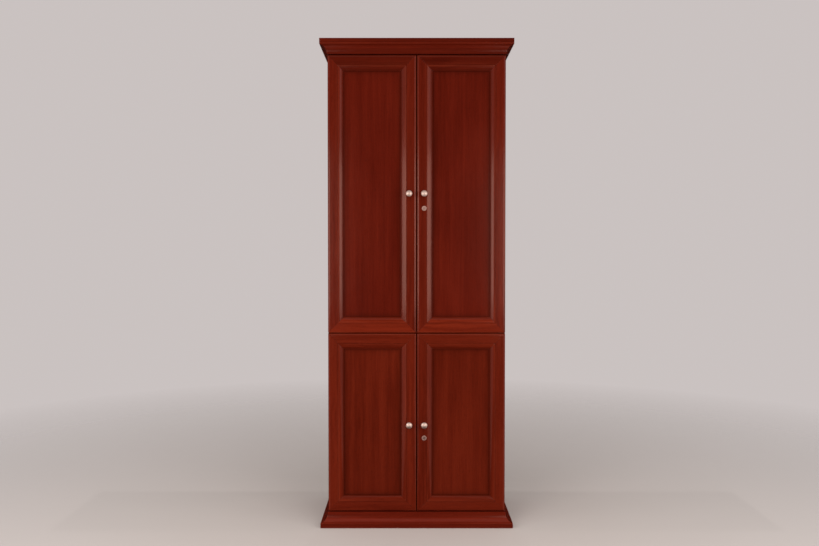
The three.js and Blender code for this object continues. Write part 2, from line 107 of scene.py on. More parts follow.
def math2(tree, operation, first, second, clamped=False):
    inputs = {0: first, 1: second}
    return add(tree, "ShaderNodeMath", inputs, operation=operation, use_clamp=clamped).outputs[0]


def plus(tree, first, second, clamped=False):
    return math2(tree, "ADD", first, second, clamped)


def times(tree, first, second, clamped=False):
    return math2(tree, "MULTIPLY", first, second, clamped)


# How far a value from 0 to 1 lies from its middle, made larger or smaller
def swing(tree, value, amount, clamped=False):
    return times(tree, math2(tree, "SUBTRACT", value, 0.5), amount, clamped)


def stretch(tree, place, factors):
    return add(tree, "ShaderNodeVectorMath", {0: place, 1: factors}, operation="MULTIPLY").outputs[0]


def noise(tree, place, scale, detail, roughness=0.5, bend=0.0):
    return add(tree, "ShaderNodeTexNoise", {
        "Vector": place, "Scale": scale, "Detail": detail, "Roughness": roughness, "Distortion": bend,
    }).outputs["Fac"]


def remap(tree, value, limits):
    return add(tree, "ShaderNodeMapRange", {"Value": value, **limits}).outputs["Result"]


def mixColours(tree, factor, first, second):
    return add(tree, "ShaderNodeMix", {0: factor, 6: first, 7: second}, data_type="RGBA").outputs[2]


def objectPlace(tree):
    return add(tree, "ShaderNodeTexCoord").outputs["Object"]


def newGroup(name, kind, inputs, outputs):
    tree = bpy.data.node_groups.new(name, kind)
    for label, (socketType, value) in inputs.items():
        socket = tree.interface.new_socket(label, in_out="INPUT", socket_type=socketType)
        if value is not None:
            socket.default_value = value
    for label, socketType in outputs.items():
        tree.interface.new_socket(label, in_out="OUTPUT", socket_type=socketType)
    return tree, tree.nodes.new("NodeGroupInput").outputs, tree.nodes.new("NodeGroupOutput")


def newMaterial(name):
    material = bpy.data.materials.new(name)
    material.use_nodes = True
    material.node_tree.nodes.clear()
    return material, material.node_tree


def showSurface(tree, inputs):
    surface = add(tree, "ShaderNodeBsdfPrincipled", inputs)
    add(tree, "ShaderNodeOutputMaterial", {"Surface": surface.outputs[0]})


# A screen colour from 0 to 255 as the linear colour that a shader takes
def linear(red, green, blue):
    def one(value):
        value /= 255
        return value / 12.92 if value <= 0.04045 else ((value + 0.055) / 1.055) ** 2.4
    return (one(red), one(green), one(blue), 1.0)


# Studio: pale surroundings, a pale floor, soft lamps, and a dark cloth that only reflections see
windowTint = (1.0, 0.93, 0.88)
studio = {
    "background": (0.59, 0.54, 0.53, 1.0),
    "ambient": (0.33, 0.315, 0.305, 1.0),
    "floorColour": (0.78, 0.72, 0.69, 1.0),
    "floorRadius": 3.8,
    "floorFade": 0.7,
    "floorSides": 96,
    "floorDrop": 0.0004,
    "floorClouds": 3.0,
    "floorRoughness": (0.6, 0.8),
    "lamps": {
        "overhead_lamp": {"place": (-0.4, -2.6, 3.5), "aim": (0.0, -0.2, 0.9), "size": (2.8, 1.4),
                          "brightness": 2.1, "tint": (1.0, 0.95, 0.92), "mirrored": False},
        "left_window": {"place": (-1.56, -2.80, 1.28), "aim": (0.0, -0.3, 1.28), "size": (1.85, 1.25),
                        "brightness": 4.1, "tint": windowTint},
        "right_window": {"place": (1.56, -2.80, 1.28), "aim": (0.0, -0.3, 1.28), "size": (1.85, 1.25),
                         "brightness": 4.1, "tint": windowTint},
        "left_side_window": {"place": (-2.75, -1.55, 1.28), "aim": (0.0, -0.3, 1.28), "size": (1.3, 1.25),
                             "brightness": 3.4, "tint": windowTint},
        "right_side_window": {"place": (2.75, -1.55, 1.28), "aim": (0.0, -0.3, 1.28), "size": (1.3, 1.25),
                              "brightness": 3.4, "tint": windowTint},
        "right_high_window": {"place": (1.75, -2.7, 2.45), "aim": (0.0, -0.3, 2.2), "size": (1.4, 0.9),
                              "brightness": 0.9, "tint": (0.90, 0.92, 1.0)},
    },
    "clothColour": (0.02, 0.012, 0.010, 1.0),
    "clothRows": ((-0.222, 0.003, -0.40, 0.40), (-1.4, 0.003, -0.62, 0.62), (-3.8, 0.003, -1.10, 1.10),
                  (-4.6, 0.35, -1.25, 1.25), (-4.9, 1.6, -1.3, 1.3), (-4.9, 4.6, -1.5, 1.5)),
    "sideClothRows": ((-0.24, 0.003, 0.402, 1.5), (0.30, 0.003, 0.402, 1.5), (0.30, 2.3, 0.402, 1.5)),
}


def addLamp(name, lamp):
    data = bpy.data.lights.new(name, "AREA")
    data.shape = "RECTANGLE"
    data.size, data.size_y = lamp["size"]
    data.energy = lamp["brightness"] * math.pi * data.size * data.size_y
    data.color = lamp["tint"]
    holder = bpy.data.objects.new(name, data)
    holder.visible_glossy = lamp.get("mirrored", True)
    holder.location = lamp["place"]
    towards = Vector(lamp["aim"]) - Vector(lamp["place"])
    holder.rotation_euler = towards.to_track_quat("-Z", "Y").to_euler()
    scene.collection.objects.link(holder)


# The camera and reflections see the pale background; the cabinet is lit by a slightly dimmer one
def addSurroundings(background, ambient):
    world = bpy.data.worlds.new("surroundings")
    world.use_nodes = True
    tree = world.node_tree
    path = add(tree, "ShaderNodeLightPath").outputs
    seen = math2(tree, "MAXIMUM", path["Is Camera Ray"], path["Is Glossy Ray"])
    seen = math2(tree, "MAXIMUM", seen, path["Is Transmission Ray"])
    tree.links.new(mixColours(tree, seen, ambient, background), tree.nodes["Background"].inputs["Color"])
    scene.world = world


# The floor fades out towards its edge, so that no edge shows
def floorMaterial(colour, radius, fade):
    material, tree = newMaterial("pale_floor")
    place = objectPlace(tree)
    away = add(tree, "ShaderNodeVectorMath", {0: place}, operation="LENGTH").outputs["Value"]
    faded = math2(tree, "DIVIDE", math2(tree, "SUBTRACT", away, fade), radius - fade, clamped=True)
    smooth, dull = studio["floorRoughness"]
    clouds = noise(tree, place, studio["floorClouds"], 3.0)
    rough = remap(tree, clouds, {"To Min": smooth, "To Max": dull})
    surface = add(tree, "ShaderNodeBsdfPrincipled", {"Base Color": colour, "Roughness": rough})
    clear = add(tree, "ShaderNodeBsdfTransparent")
    mix = add(tree, "ShaderNodeMixShader", {0: faded, 1: surface.outputs[0], 2: clear.outputs[0]})
    add(tree, "ShaderNodeOutputMaterial", {"Surface": mix.outputs[0]})
    return material


def addFloor(colour, radius, fade):
    sides = studio["floorSides"]
    angles = [math.tau * i / sides for i in range(sides)]
    mesh = bpy.data.meshes.new("floor")
    corners = [(radius * math.cos(angle), radius * math.sin(angle), 0.0) for angle in angles]
    mesh.from_pydata(corners, [], [tuple(range(sides))])
    floor = bpy.data.objects.new("floor", mesh)
    floor.location.z = -studio["floorDrop"]
    mesh.materials.append(floorMaterial(colour, radius, fade))
    scene.collection.objects.link(floor)


def clothMaterial(colour):
    material, tree = newMaterial("dark_cloth")
    showSurface(tree, {"Base Color": colour, "Roughness": 1.0, "Specular IOR Level": 0.0})
    return material


# Each row of a cloth is its depth, its height, and where it starts and ends across
def addCloth(name, rows, material, across=1):
    corners = [(across * x, y, z) for y, z, *ends in rows for x in ends]
    faces = [(2 * i, 2 * i + 1, 2 * i + 3, 2 * i + 2) for i in range(len(rows) - 1)]
    mesh = bpy.data.meshes.new(name)
    mesh.from_pydata(corners, [], faces)
    mesh.materials.append(material)
    cloth = bpy.data.objects.new(name, mesh)
    for way in ("camera", "diffuse", "transmission", "shadow"):
        setattr(cloth, "visible_" + way, False)
    scene.collection.objects.link(cloth)


addSurroundings(studio["background"], studio["ambient"])
addFloor(studio["floorColour"], studio["floorRadius"], studio["floorFade"])
darkCloth = clothMaterial(studio["clothColour"])
addCloth("front_cloth", studio["clothRows"], darkCloth)
addCloth("left_cloth", studio["sideClothRows"], darkCloth, across=-1)
addCloth("right_cloth", studio["sideClothRows"], darkCloth)
for lampName, lampSizes in studio["lamps"].items():
    addLamp(lampName, lampSizes)
scene.view_settings.view_transform = "Standard"
print("studio set")

# Mahogany: each layer has its scale across the grain and along it, and how far it swings the tone
woodFigure = {
    "ribbon": {"across": 34, "along": 0.9, "detail": 2.0, "bend": 0.35, "amount": 1.0},
    "narrow": {"across": 115, "along": 3.2, "detail": 3.0, "bend": 0.2, "amount": 0.7},
    "fibre": {"across": 520, "along": 14, "detail": 2.0, "bend": 0.0, "amount": 0.8},
    "patch": {"across": 4.2, "along": 1.5, "detail": 2.0, "bend": 0.6, "amount": 1.5},
    "featherPlace": {"across": 3.0, "along": 1.3, "detail": 1.0, "bend": 0.0, "amount": 4.0},
    "feather": {"scale": 13.0, "along": 0.30, "detail": 3.0, "detailScale": 1.6, "bend": 7.0, "amount": -0.9},
    "pores": {"across": 1300, "along": 60, "detail": 1.0, "bend": 0.0, "range": (0.60, 0.72)},
    "poreColour": (0.014, 0.002, 0.001, 1),
    "poreDarkness": 0.34,
    "poreDepth": 0.7,
}


# Ribbon stripes and fibres along Z, feathery patches and filled pores
def grainGroup(figure):
    plainBrown = (0.1, 0.01, 0.005, 1)
    sockets = {
        "Place": ("NodeSocketVector", None),
        "Dark": ("NodeSocketColor", plainBrown),
        "Middle": ("NodeSocketColor", plainBrown),
        "Light": ("NodeSocketColor", plainBrown),
        "Ribbon": ("NodeSocketFloat", 1.0),
        "Figure": ("NodeSocketFloat", 1.0),
    }
    tree, given, out = newGroup("mahogany_grain", "ShaderNodeTree", sockets, {
        "Color": "NodeSocketColor", "Tone": "NodeSocketFloat", "Height": "NodeSocketFloat"})

    def streaks(layer):
        place = stretch(tree, given["Place"], (layer["across"], layer["across"], layer["along"]))
        return noise(tree, place, 1.0, layer["detail"], bend=layer["bend"])

    def swung(name):
        return swing(tree, streaks(figure[name]), figure[name]["amount"])

    ribbon = times(tree, swung("ribbon"), given["Ribbon"])
    narrow = times(tree, swung("narrow"), given["Ribbon"])
    fibre = swung("fibre")
    patch = times(tree, swung("patch"), given["Figure"])
    feather = figure["feather"]
    bands = add(tree, "ShaderNodeTexWave", {
        "Vector": stretch(tree, given["Place"], (1.0, 1.0, feather["along"])), "Scale": feather["scale"],
        "Distortion": feather["bend"], "Detail": feather["detail"], "Detail Scale": feather["detailScale"],
    }, wave_type="BANDS", bands_direction="X")
    featherPlace = math2(tree, "MAXIMUM", times(tree, swung("featherPlace"), given["Figure"]), 0.0)
    feathered = times(tree, swing(tree, bands.outputs["Fac"], feather["amount"]), featherPlace)
    tone = plus(tree, ribbon, narrow)
    for part in (fibre, patch, feathered):
        tone = plus(tree, tone, part)
    tone = plus(tree, tone, 0.5, clamped=True)
    low = times(tree, tone, 2.0, clamped=True)
    high = swing(tree, tone, 2.0, clamped=True)
    colour = mixColours(tree, high, mixColours(tree, low, given["Dark"], given["Middle"]), given["Light"])
    poreFrom, poreTo = figure["pores"]["range"]
    pores = remap(tree, streaks(figure["pores"]), {"From Min": poreFrom, "From Max": poreTo})
    colour = mixColours(tree, times(tree, pores, figure["poreDarkness"]), colour, figure["poreColour"])
    tree.links.new(colour, out.inputs["Color"])
    tree.links.new(tone, out.inputs["Tone"])
    tree.links.new(plus(tree, times(tree, pores, -figure["poreDepth"]), fibre), out.inputs["Height"])
    return tree


# The lacquer film: slow waves, fine orange peel, and hand marks and dust that dull it
lacquerFilm = {
    "waves": {"scale": 38.0, "detail": 1.0, "height": 0.45},
    "peel": {"scale": 420.0, "detail": 2.0, "height": 0.04},
    "hands": {"scale": 9.0, "detail": 4.0, "roughness": 0.6, "amount": 2.0},
    "dust": {"scale": 900.0, "detail": 1.0, "amount": 0.9},
}


def filmGroup(layers):
    sockets = {
        "Place": ("NodeSocketVector", None),
        "Gloss": ("NodeSocketFloat", 0.3),
        "Marks": ("NodeSocketFloat", 0.06),
    }
    tree, given, out = newGroup("lacquer_film", "ShaderNodeTree", sockets,
                                {"Roughness": "NodeSocketFloat", "Height": "NodeSocketFloat"})

    def specks(name):
        layer = layers[name]
        return noise(tree, given["Place"], layer["scale"], layer["detail"], layer.get("roughness", 0.5))

    hands = swing(tree, specks("hands"), layers["hands"]["amount"])
    dust = swing(tree, specks("dust"), layers["dust"]["amount"])
    marks = times(tree, plus(tree, hands, dust), given["Marks"])
    waves = times(tree, specks("waves"), layers["waves"]["height"])
    peel = times(tree, specks("peel"), layers["peel"]["height"])
    tree.links.new(plus(tree, given["Gloss"], marks), out.inputs["Roughness"])
    tree.links.new(plus(tree, waves, peel), out.inputs["Height"])
    return tree


# Plated metal: fine polishing lines, and a film of handling that dulls and warms it
platedFilm = {
    "handlingScale": 160.0,
    "handlingDetail": 4.0,
    "handlingRange": (0.35, 0.7),
    "lineScale": 900.0,
    "lineDetail": 2.0,
    "lineStretch": 12.0,
    "bumpStrength": 0.12,
    "bumpDistance": 0.00005,
}


def platingGroup(film):
    sockets = {
        "Place": ("NodeSocketVector", None),
        "Gloss": ("NodeSocketFloat", 0.25),
        "Marks": ("NodeSocketFloat", 0.1),
        "Clean": ("NodeSocketColor", (0.8, 0.8, 0.8, 1)),
        "Handled": ("NodeSocketColor", (0.6, 0.6, 0.6, 1)),
    }
    tree, given, out = newGroup("plated_metal", "ShaderNodeTree", sockets, {
        "Color": "NodeSocketColor", "Roughness": "NodeSocketFloat", "Height": "NodeSocketFloat"})
    start, end = film["handlingRange"]
    handled = noise(tree, given["Place"], film["handlingScale"], film["handlingDetail"])
    handled = remap(tree, handled, {"From Min": start, "From Max": end})
    drawn = stretch(tree, given["Place"], (1.0, 1.0, film["lineStretch"]))
    lines = noise(tree, drawn, film["lineScale"], film["lineDetail"])
    rough = plus(tree, given["Gloss"], times(tree, handled, given["Marks"]))
    tree.links.new(mixColours(tree, handled, given["Clean"], given["Handled"]), out.inputs["Color"])
    tree.links.new(rough, out.inputs["Roughness"])
    tree.links.new(lines, out.inputs["Height"])
    return tree


grainTree = grainGroup(woodFigure)
filmTree = filmGroup(lacquerFilm)
platingTree = platingGroup(platedFilm)

# Colours on a screen, from 0 to 255; seed steps and wraps say where in the tree each board is cut
mahogany = {
    "colours": {"Dark": (80, 18, 7), "Middle": (94, 24, 11), "Light": (106, 30, 15)},
    # Painted shade colour for hollows and joints, then painted highlight colour and strength for crests and
    # edges
    "paintedShadeColour": (44, 8, 3),
    "paintedShadeStrength": 0.55,
    "paintedHighlightColour": (150, 62, 38),
    "paintedHighlightStrength": 0.35,
    "shineLevel": 0.30,
    "shineTint": (1.0, 0.66, 0.56, 1.0),
    "gloss": 0.15,
    "marks": 0.035,
    "grainHeight": 0.06,
    "bumpStrength": 0.35,
    "bumpDistance": 0.00035,
    "grainTurns": {"X": (0, quarterTurn, 0), "Y": (quarterTurn, 0, 0), "Z": (0, 0, 0)},
    "seedSteps": (3.1, 5.3, 7.7),
    "seedWraps": (17, 13, 11),
}


# One board's own wood: its grain along one axis, its own part of the tree, a little darker or lighter; on
# some door rails and mouldings that tone is painted light
def mahoganyMaterial(name, grain, seed, tone=1.0, warmth=0.0, ribbon=1.0, figure=1.0, paintedLight=False,
                     gloss=mahogany["gloss"]):
    material, tree = newMaterial(name)
    shift = [step * seed % wrap for step, wrap in zip(mahogany["seedSteps"], mahogany["seedWraps"])]
    cut = add(tree, "ShaderNodeMapping", {
        "Vector": objectPlace(tree), "Rotation": mahogany["grainTurns"][grain], "Location": shift}).outputs[0]
    woodInputs = {"Place": cut, "Ribbon": ribbon, "Figure": figure}
    for label, shade in mahogany["colours"].items():
        red, green, blue, alpha = linear(*shade)
        woodInputs[label] = (red * tone, green * tone * (1 + warmth), blue * tone, alpha)
    wood = add(tree, "ShaderNodeGroup", woodInputs, node_tree=grainTree).outputs
    colour = wood["Color"]
    # Painted shade darkens the hollows and joints, and a painted highlight lightens the crests and edges
    if paintedLight:
        hollow = add(tree, "ShaderNodeAttribute", attribute_name="paintedShade").outputs["Fac"]
        crest = add(tree, "ShaderNodeAttribute", attribute_name="paintedLight").outputs["Fac"]
        paintedShade = times(tree, hollow, mahogany["paintedShadeStrength"])
        paintedHighlightAmount = times(tree, times(tree, crest, wood["Tone"]), mahogany["paintedHighlightStrength"])
        colour = mixColours(tree, paintedShade, colour, linear(*mahogany["paintedShadeColour"]))
        colour = mixColours(tree, paintedHighlightAmount, colour, linear(*mahogany["paintedHighlightColour"]))
    filmInputs = {"Place": cut, "Gloss": gloss, "Marks": mahogany["marks"]}
    film = add(tree, "ShaderNodeGroup", filmInputs, node_tree=filmTree).outputs
    height = plus(tree, film["Height"], times(tree, wood["Height"], mahogany["grainHeight"]))
    bump = add(tree, "ShaderNodeBump", {
        "Height": height, "Strength": mahogany["bumpStrength"], "Distance": mahogany["bumpDistance"]})
    showSurface(tree, {
        "Base Color": colour, "Roughness": film["Roughness"], "Normal": bump.outputs[0],
        "Specular IOR Level": mahogany["shineLevel"], "Specular Tint": mahogany["shineTint"]})
    return material


metals = {
    "knob_satin": {"clean": (0.72, 0.56, 0.49, 1), "handled": (0.60, 0.46, 0.39, 1),
                   "gloss": 0.50, "marks": 0.10},
    "lock_nickel": {"clean": (0.52, 0.33, 0.28, 1), "handled": (0.42, 0.26, 0.22, 1),
                    "gloss": 0.62, "marks": 0.10},
    "plug_nickel": {"clean": (0.46, 0.29, 0.25, 1), "handled": (0.34, 0.20, 0.17, 1),
                    "gloss": 0.40, "marks": 0.12},
    "fitting_nickel": {"clean": (0.62, 0.61, 0.59, 1), "handled": (0.50, 0.48, 0.45, 1),
                       "gloss": 0.26, "marks": 0.12},
    "screw_zinc": {"clean": (0.66, 0.65, 0.62, 1), "handled": (0.50, 0.48, 0.44, 1),
                   "gloss": 0.30, "marks": 0.15},
}


def metalMaterial(name, look):
    material, tree = newMaterial(name)
    plated = add(tree, "ShaderNodeGroup", {
        "Place": objectPlace(tree), "Clean": look["clean"], "Handled": look["handled"],
        "Gloss": look["gloss"], "Marks": look["marks"],
    }, node_tree=platingTree).outputs
    bump = add(tree, "ShaderNodeBump", {
        "Height": plated["Height"], "Strength": platedFilm["bumpStrength"],
        "Distance": platedFilm["bumpDistance"]})
    showSurface(tree, {
        "Base Color": plated["Color"], "Roughness": plated["Roughness"], "Normal": bump.outputs[0],
        "Metallic": 1.0})
    return material


metal = {name: metalMaterial(name, look) for name, look in metals.items()}

# Brown pressed board for the back: flecks, clouds and fine fibres in every direction
pressedBoard = {
    "dark": (58, 26, 17),
    "light": (128, 70, 46),
    "flecks": {"scale": 700.0, "detail": 4.0, "share": 0.6},
    "clouds": {"scale": 7.0, "detail": 3.0, "share": 0.4},
    "fibreScale": 480.0,
    "fibreShade": 0.12,
    "roughness": (0.6, 0.85),
    "shineLevel": 0.3,
    "bumpStrength": 0.4,
    "bumpDistance": 0.0002,
}


def pressedBoardMaterial(board):
    material, tree = newMaterial("pressed_board")
    place = objectPlace(tree)
    flecks = noise(tree, place, board["flecks"]["scale"], board["flecks"]["detail"])
    clouds = noise(tree, place, board["clouds"]["scale"], board["clouds"]["detail"])
    cells = add(tree, "ShaderNodeTexVoronoi", {"Vector": place, "Scale": board["fibreScale"]})
    fibres = times(tree, cells.outputs["Distance"], -board["fibreShade"])
    shade = plus(tree, times(tree, flecks, board["flecks"]["share"]),
                 times(tree, clouds, board["clouds"]["share"]))
    shade = plus(tree, shade, fibres, clamped=True)
    bump = add(tree, "ShaderNodeBump", {
        "Height": flecks, "Strength": board["bumpStrength"], "Distance": board["bumpDistance"]})
    smooth, dull = board["roughness"]
    showSurface(tree, {
        "Base Color": mixColours(tree, shade, linear(*board["dark"]), linear(*board["light"])),
        "Roughness": remap(tree, flecks, {"To Min": smooth, "To Max": dull}),
        "Normal": bump.outputs[0], "Specular IOR Level": board["shineLevel"]})
    return material


backMaterial = pressedBoardMaterial(pressedBoard)
print("finishes made")


# Shells: lists of vertices and faces, put together into pieces. The welds say how close two vertices have to
# be to be made one. The angles, in degrees, say what counts as flat, and from where on an edge is softened
# or shown sharp
shellWeld = 1e-7
solidWeld = 1e-6
mouldingWeld = 1e-5
flatAngle = 0.5
mouldingSoftAngle = 35
solidSoftAngle = 50
sharpAngle = 30
softEdgeSteps = 2
cutOverrun = 0.01        # how far a cut runs on past a face


def joined(*shells):
    vertices, faces = [], []
    for shellVertices, shellFaces in shells:
        offset = len(vertices)
        vertices += list(shellVertices)
        faces += [tuple(index + offset for index in face) for face in shellFaces]
    return vertices, faces


def newPiece(name, shell):
    mesh = bpy.data.meshes.new(name)
    mesh.from_pydata(shell[0], [], shell[1])
    form = bmesh.new()
    form.from_mesh(mesh)
    bmesh.ops.remove_doubles(form, verts=form.verts, dist=shellWeld)
    bmesh.ops.recalc_face_normals(form, faces=form.faces)
    form.to_mesh(mesh)
    form.free()
    piece = bpy.data.objects.new(name, mesh)
    scene.collection.objects.link(piece)
    return piece


# Makes the result of a piece's modifiers its plain mesh
def settle(piece):
    graph = bpy.context.evaluated_depsgraph_get()
    shaped = piece.evaluated_get(graph)
    mesh = bpy.data.meshes.new_from_object(shaped, preserve_all_data_layers=True, depsgraph=graph)
    piece.modifiers.clear()
    piece.data = mesh


def soften(piece, width, angle=mouldingSoftAngle):
    bevel = piece.modifiers.new("softened", "BEVEL")
    bevel.width, bevel.segments, bevel.limit_method = width, softEdgeSteps, "ANGLE"
    bevel.angle_limit = math.radians(angle)
    bevel.harden_normals = False
    settle(piece)


def cutOut(piece, *shells):
    cutter = newPiece("cutter", joined(*shells))
    boolean = piece.modifiers.new("cut", "BOOLEAN")
    boolean.operation, boolean.solver, boolean.object = "DIFFERENCE", "EXACT", cutter
    settle(piece)
    bpy.data.objects.remove(cutter)


def finish(piece, material, body, slotName, *replaced, sharp=sharpAngle):
    piece.data.materials.clear()
    piece.data.materials.append(material)
    piece.data.shade_smooth()
    piece.data.set_sharp_from_angle(angle=math.radians(sharp))
    weighted = piece.modifiers.new("flat faces stay flat", "WEIGHTED_NORMAL")
    weighted.keep_sharp = True
    settle(piece)
    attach(piece, body)
    if replaced:
        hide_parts(*replaced)


# A closed outline run between two ends, each end given by its own place for every point of the outline
def run(outline, startPlace, endPlace):
    count = len(outline)
    vertices = [startPlace(*point) for point in outline] + [endPlace(*point) for point in outline]
    faces = [(i, (i + 1) % count, count + (i + 1) % count, count + i) for i in range(count)]
    return vertices, faces + [tuple(range(count)), tuple(range(2 * count - 1, count - 1, -1))]


# A profile of (radius, distance along) turned round a line through a point; a ring has a hole down its middle
def turned(profile, centre, axis, sides, ring=False):
    axis = Vector(axis).normalized()
    across = axis.orthogonal().normalized()
    other = axis.cross(across)
    vertices, faces = [], []
    for radius, along in profile:
        for i in range(sides):
            angle = math.tau * i / sides
            spoke = across * math.cos(angle) + other * math.sin(angle)
            vertices.append(tuple(Vector(centre) + spoke * radius + axis * along))
    rows = len(profile)
    for row in range(rows if ring else rows - 1):
        for i in range(sides):
            after = (i + 1) % sides
            nextRow = (row + 1) % rows
            faces.append((row * sides + i, row * sides + after, nextRow * sides + after, nextRow * sides + i))
    return vertices, faces


def bar(radius, start, end, sides):
    axis = Vector(end) - Vector(start)
    return turned([(0, 0), (radius, 0), (radius, axis.length), (0, axis.length)], start, axis, sides)


# A flat plate with holes: place(u, v, t) puts it in the cabinet, t running through its thickness
def plate(outer, holes, thickness, place):
    loops = [outer] + list(holes)
    triangles = tessellate_polygon([[Vector((u, v, 0)) for u, v in loop] for loop in loops])
    points = [point for loop in loops for point in loop]
    count = len(points)
    vertices = [place(u, v, 0.0) for u, v in points] + [place(u, v, thickness) for u, v in points]
    faces = [tuple(triangle) for triangle in triangles]
    faces += [tuple(index + count for index in triangle) for triangle in triangles]
    offset = 0
    for loop in loops:
        for i in range(len(loop)):
            here, after = offset + i, offset + (i + 1) % len(loop)
            faces.append((here, after, after + count, here + count))
        offset += len(loop)
    return vertices, faces


def ringPoints(radius, sides, centre=(0, 0), start=0.0):
    angles = [start + math.tau * i / sides for i in range(sides)]
    return [(centre[0] + radius * math.cos(angle), centre[1] + radius * math.sin(angle)) for angle in angles]


def arc(centre, radii, start, end, steps):
    angles = [start + (end - start) * i / steps for i in range(steps + 1)]
    return [(centre[0] + radii[0] * math.cos(a), centre[1] + radii[1] * math.sin(a)) for a in angles]


# Points of a Bezier curve after its first one, whatever the number of its controls
def curve(controls, steps):
    def at(part):
        points = controls
        while len(points) > 1:
            points = [Vector(first).lerp(Vector(second), part) for first, second in zip(points, points[1:])]
        return tuple(points[0])
    return [at(step / steps) for step in range(1, steps + 1)]


def block(low, high):
    corners = [(x, y, z) for x in (low[0], high[0]) for y in (low[1], high[1]) for z in (low[2], high[2])]
    return corners, [(0, 1, 3, 2), (4, 6, 7, 5), (0, 4, 5, 1), (2, 3, 7, 6), (0, 2, 6, 4), (1, 5, 7, 3)]


# A solid's own shape, welded, with its sharp edges softened
def softened(node, width):
    mesh = cadNodes[node].data.copy()
    mesh.transform(cadNodes[node].matrix_world)
    form = bmesh.new()
    form.from_mesh(mesh)
    bmesh.ops.remove_doubles(form, verts=form.verts, dist=solidWeld)
    flat = math.radians(flatAngle)
    bmesh.ops.dissolve_limit(form, angle_limit=flat, verts=form.verts, edges=form.edges)
    form.to_mesh(mesh)
    form.free()
    piece = bpy.data.objects.new(node + "_softened", mesh)
    scene.collection.objects.link(piece)
    soften(piece, width, solidSoftAngle)
    return piece


def middleOf(node):
    low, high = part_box(node)
    return (low + high) / 2


# Where painted shade lies in hollows and joints, and where a painted highlight lies on crests and edges, is a
# value at each vertex, from 0 to 1
def setValues(piece, name, valueAt):
    layer = piece.data.attributes.new(name, "FLOAT", "POINT")
    layer.data.foreach_set("value", [valueAt(vertex.co) for vertex in piece.data.vertices])


def ridge(value, height, middle, spread):
    return height * math.exp(-((value - middle) / spread) ** 2)


# Door frames: four mitred lengths of one moulded section round a panel. The painted shade and painted
# highlight values are the height, middle and spread of a ridge, inwards from the door's outer edge
doorFrame = {
    "width": 0.065,
    "thickness": 0.022,
    "edgeRound": (0.009, 0.007),
    "backArris": 0.0025,
    "quirk": (0.0015, 0.0016),
    "ovoloWidth": 0.0185,
    "ovoloShoulder": 0.0007,
    "ovoloFullness": ((0.46, 0.2), (0.865, 0.425)),
    "lip": (0.005, 0.008),
    "panelRecess": 0.010,
    "groove": (0.009, 0.0164),
    "mitreGap": 0.0003,
    "curveSteps": 14,
    "softEdge": 0.00035,
    "ribbon": 0.8,
    "figure": 0.5,
    # Painted shade in the quirk and before the lip, and painted highlights on the ovolo and on the front and
    # back edges
    "paintedShadeInQuirk": (0.5, 0.0408, 0.0010),
    "paintedShadeBeforeLip": (0.056, 0.009),
    "paintedHighlightOnOvolo": (0.6, 0.0435, 0.0035),
    "paintedHighlightOnEdge": (1.0, 0.0022, 0.0028),
    "paintedHighlightOnBackEdge": (0.5, 0.0, 0.0028),
    "paintedHighlightDepth": 0.011,
}
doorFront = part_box("upper_left_door_top_rail")[0].y
doorBack = doorFront + doorFrame["thickness"]


def frameOutline(sizes):
    width, thick, steps = sizes["width"], sizes["thickness"], sizes["curveSteps"]
    roundWidth, roundDepth = sizes["edgeRound"]
    quirkWidth, quirkDepth = sizes["quirk"]
    lipWidth, lipDepth = sizes["lip"]
    shoulder, fall = sizes["ovoloShoulder"], lipDepth - sizes["ovoloShoulder"]
    ovoloStart = width - lipWidth - sizes["ovoloWidth"]
    grooveFloor = width - sizes["groove"][0]
    points = [(0, thick - sizes["backArris"])]
    points += arc((roundWidth, roundDepth), (roundWidth, roundDepth), math.pi, 3 * quarterTurn, steps)
    points += [(ovoloStart - quirkWidth, 0), (ovoloStart - quirkWidth / 2, quirkDepth)]
    ovolo = [(ovoloStart + across * sizes["ovoloWidth"], shoulder + down * fall)
             for across, down in ((0, 0), *sizes["ovoloFullness"], (1, 1))]
    points += [ovolo[0]] + curve(ovolo, 2 * steps)
    points += [(width, lipDepth), (width, sizes["panelRecess"])]
    points += [(grooveFloor, sizes["panelRecess"]), (grooveFloor, sizes["groove"][1])]
    points += [(width, sizes["groove"][1]), (width, thick), (sizes["backArris"], thick)]
    return points


def doorExtent(door):
    corners = [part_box(f"{door}_{part}") for part in ("hinge_stile", "meeting_stile")]
    low = Vector(map(min, corners[0][0], corners[1][0]))
    high = Vector(map(max, corners[0][1], corners[1][1]))
    return low, high


# Turns 0 to 3 are the left, top, right and bottom of the door
def memberPlaces(low, high, turn):
    width, height = high.x - low.x, high.z - low.z
    middleX, middleZ = (low.x + high.x) / 2, (low.z + high.z) / 2
    length, span = (height, width) if turn % 2 == 0 else (width, height)

    def at(end):
        def place(inward, depth):
            along = end * (length / 2 - inward - doorFrame["mitreGap"] / 2)
            across = inward - span / 2
            x, z = ((across, along), (along, -across), (-across, -along), (-along, across))[turn]
            return (middleX + x, doorFront + depth, middleZ + z)
        return place
    return at(-1), at(1)


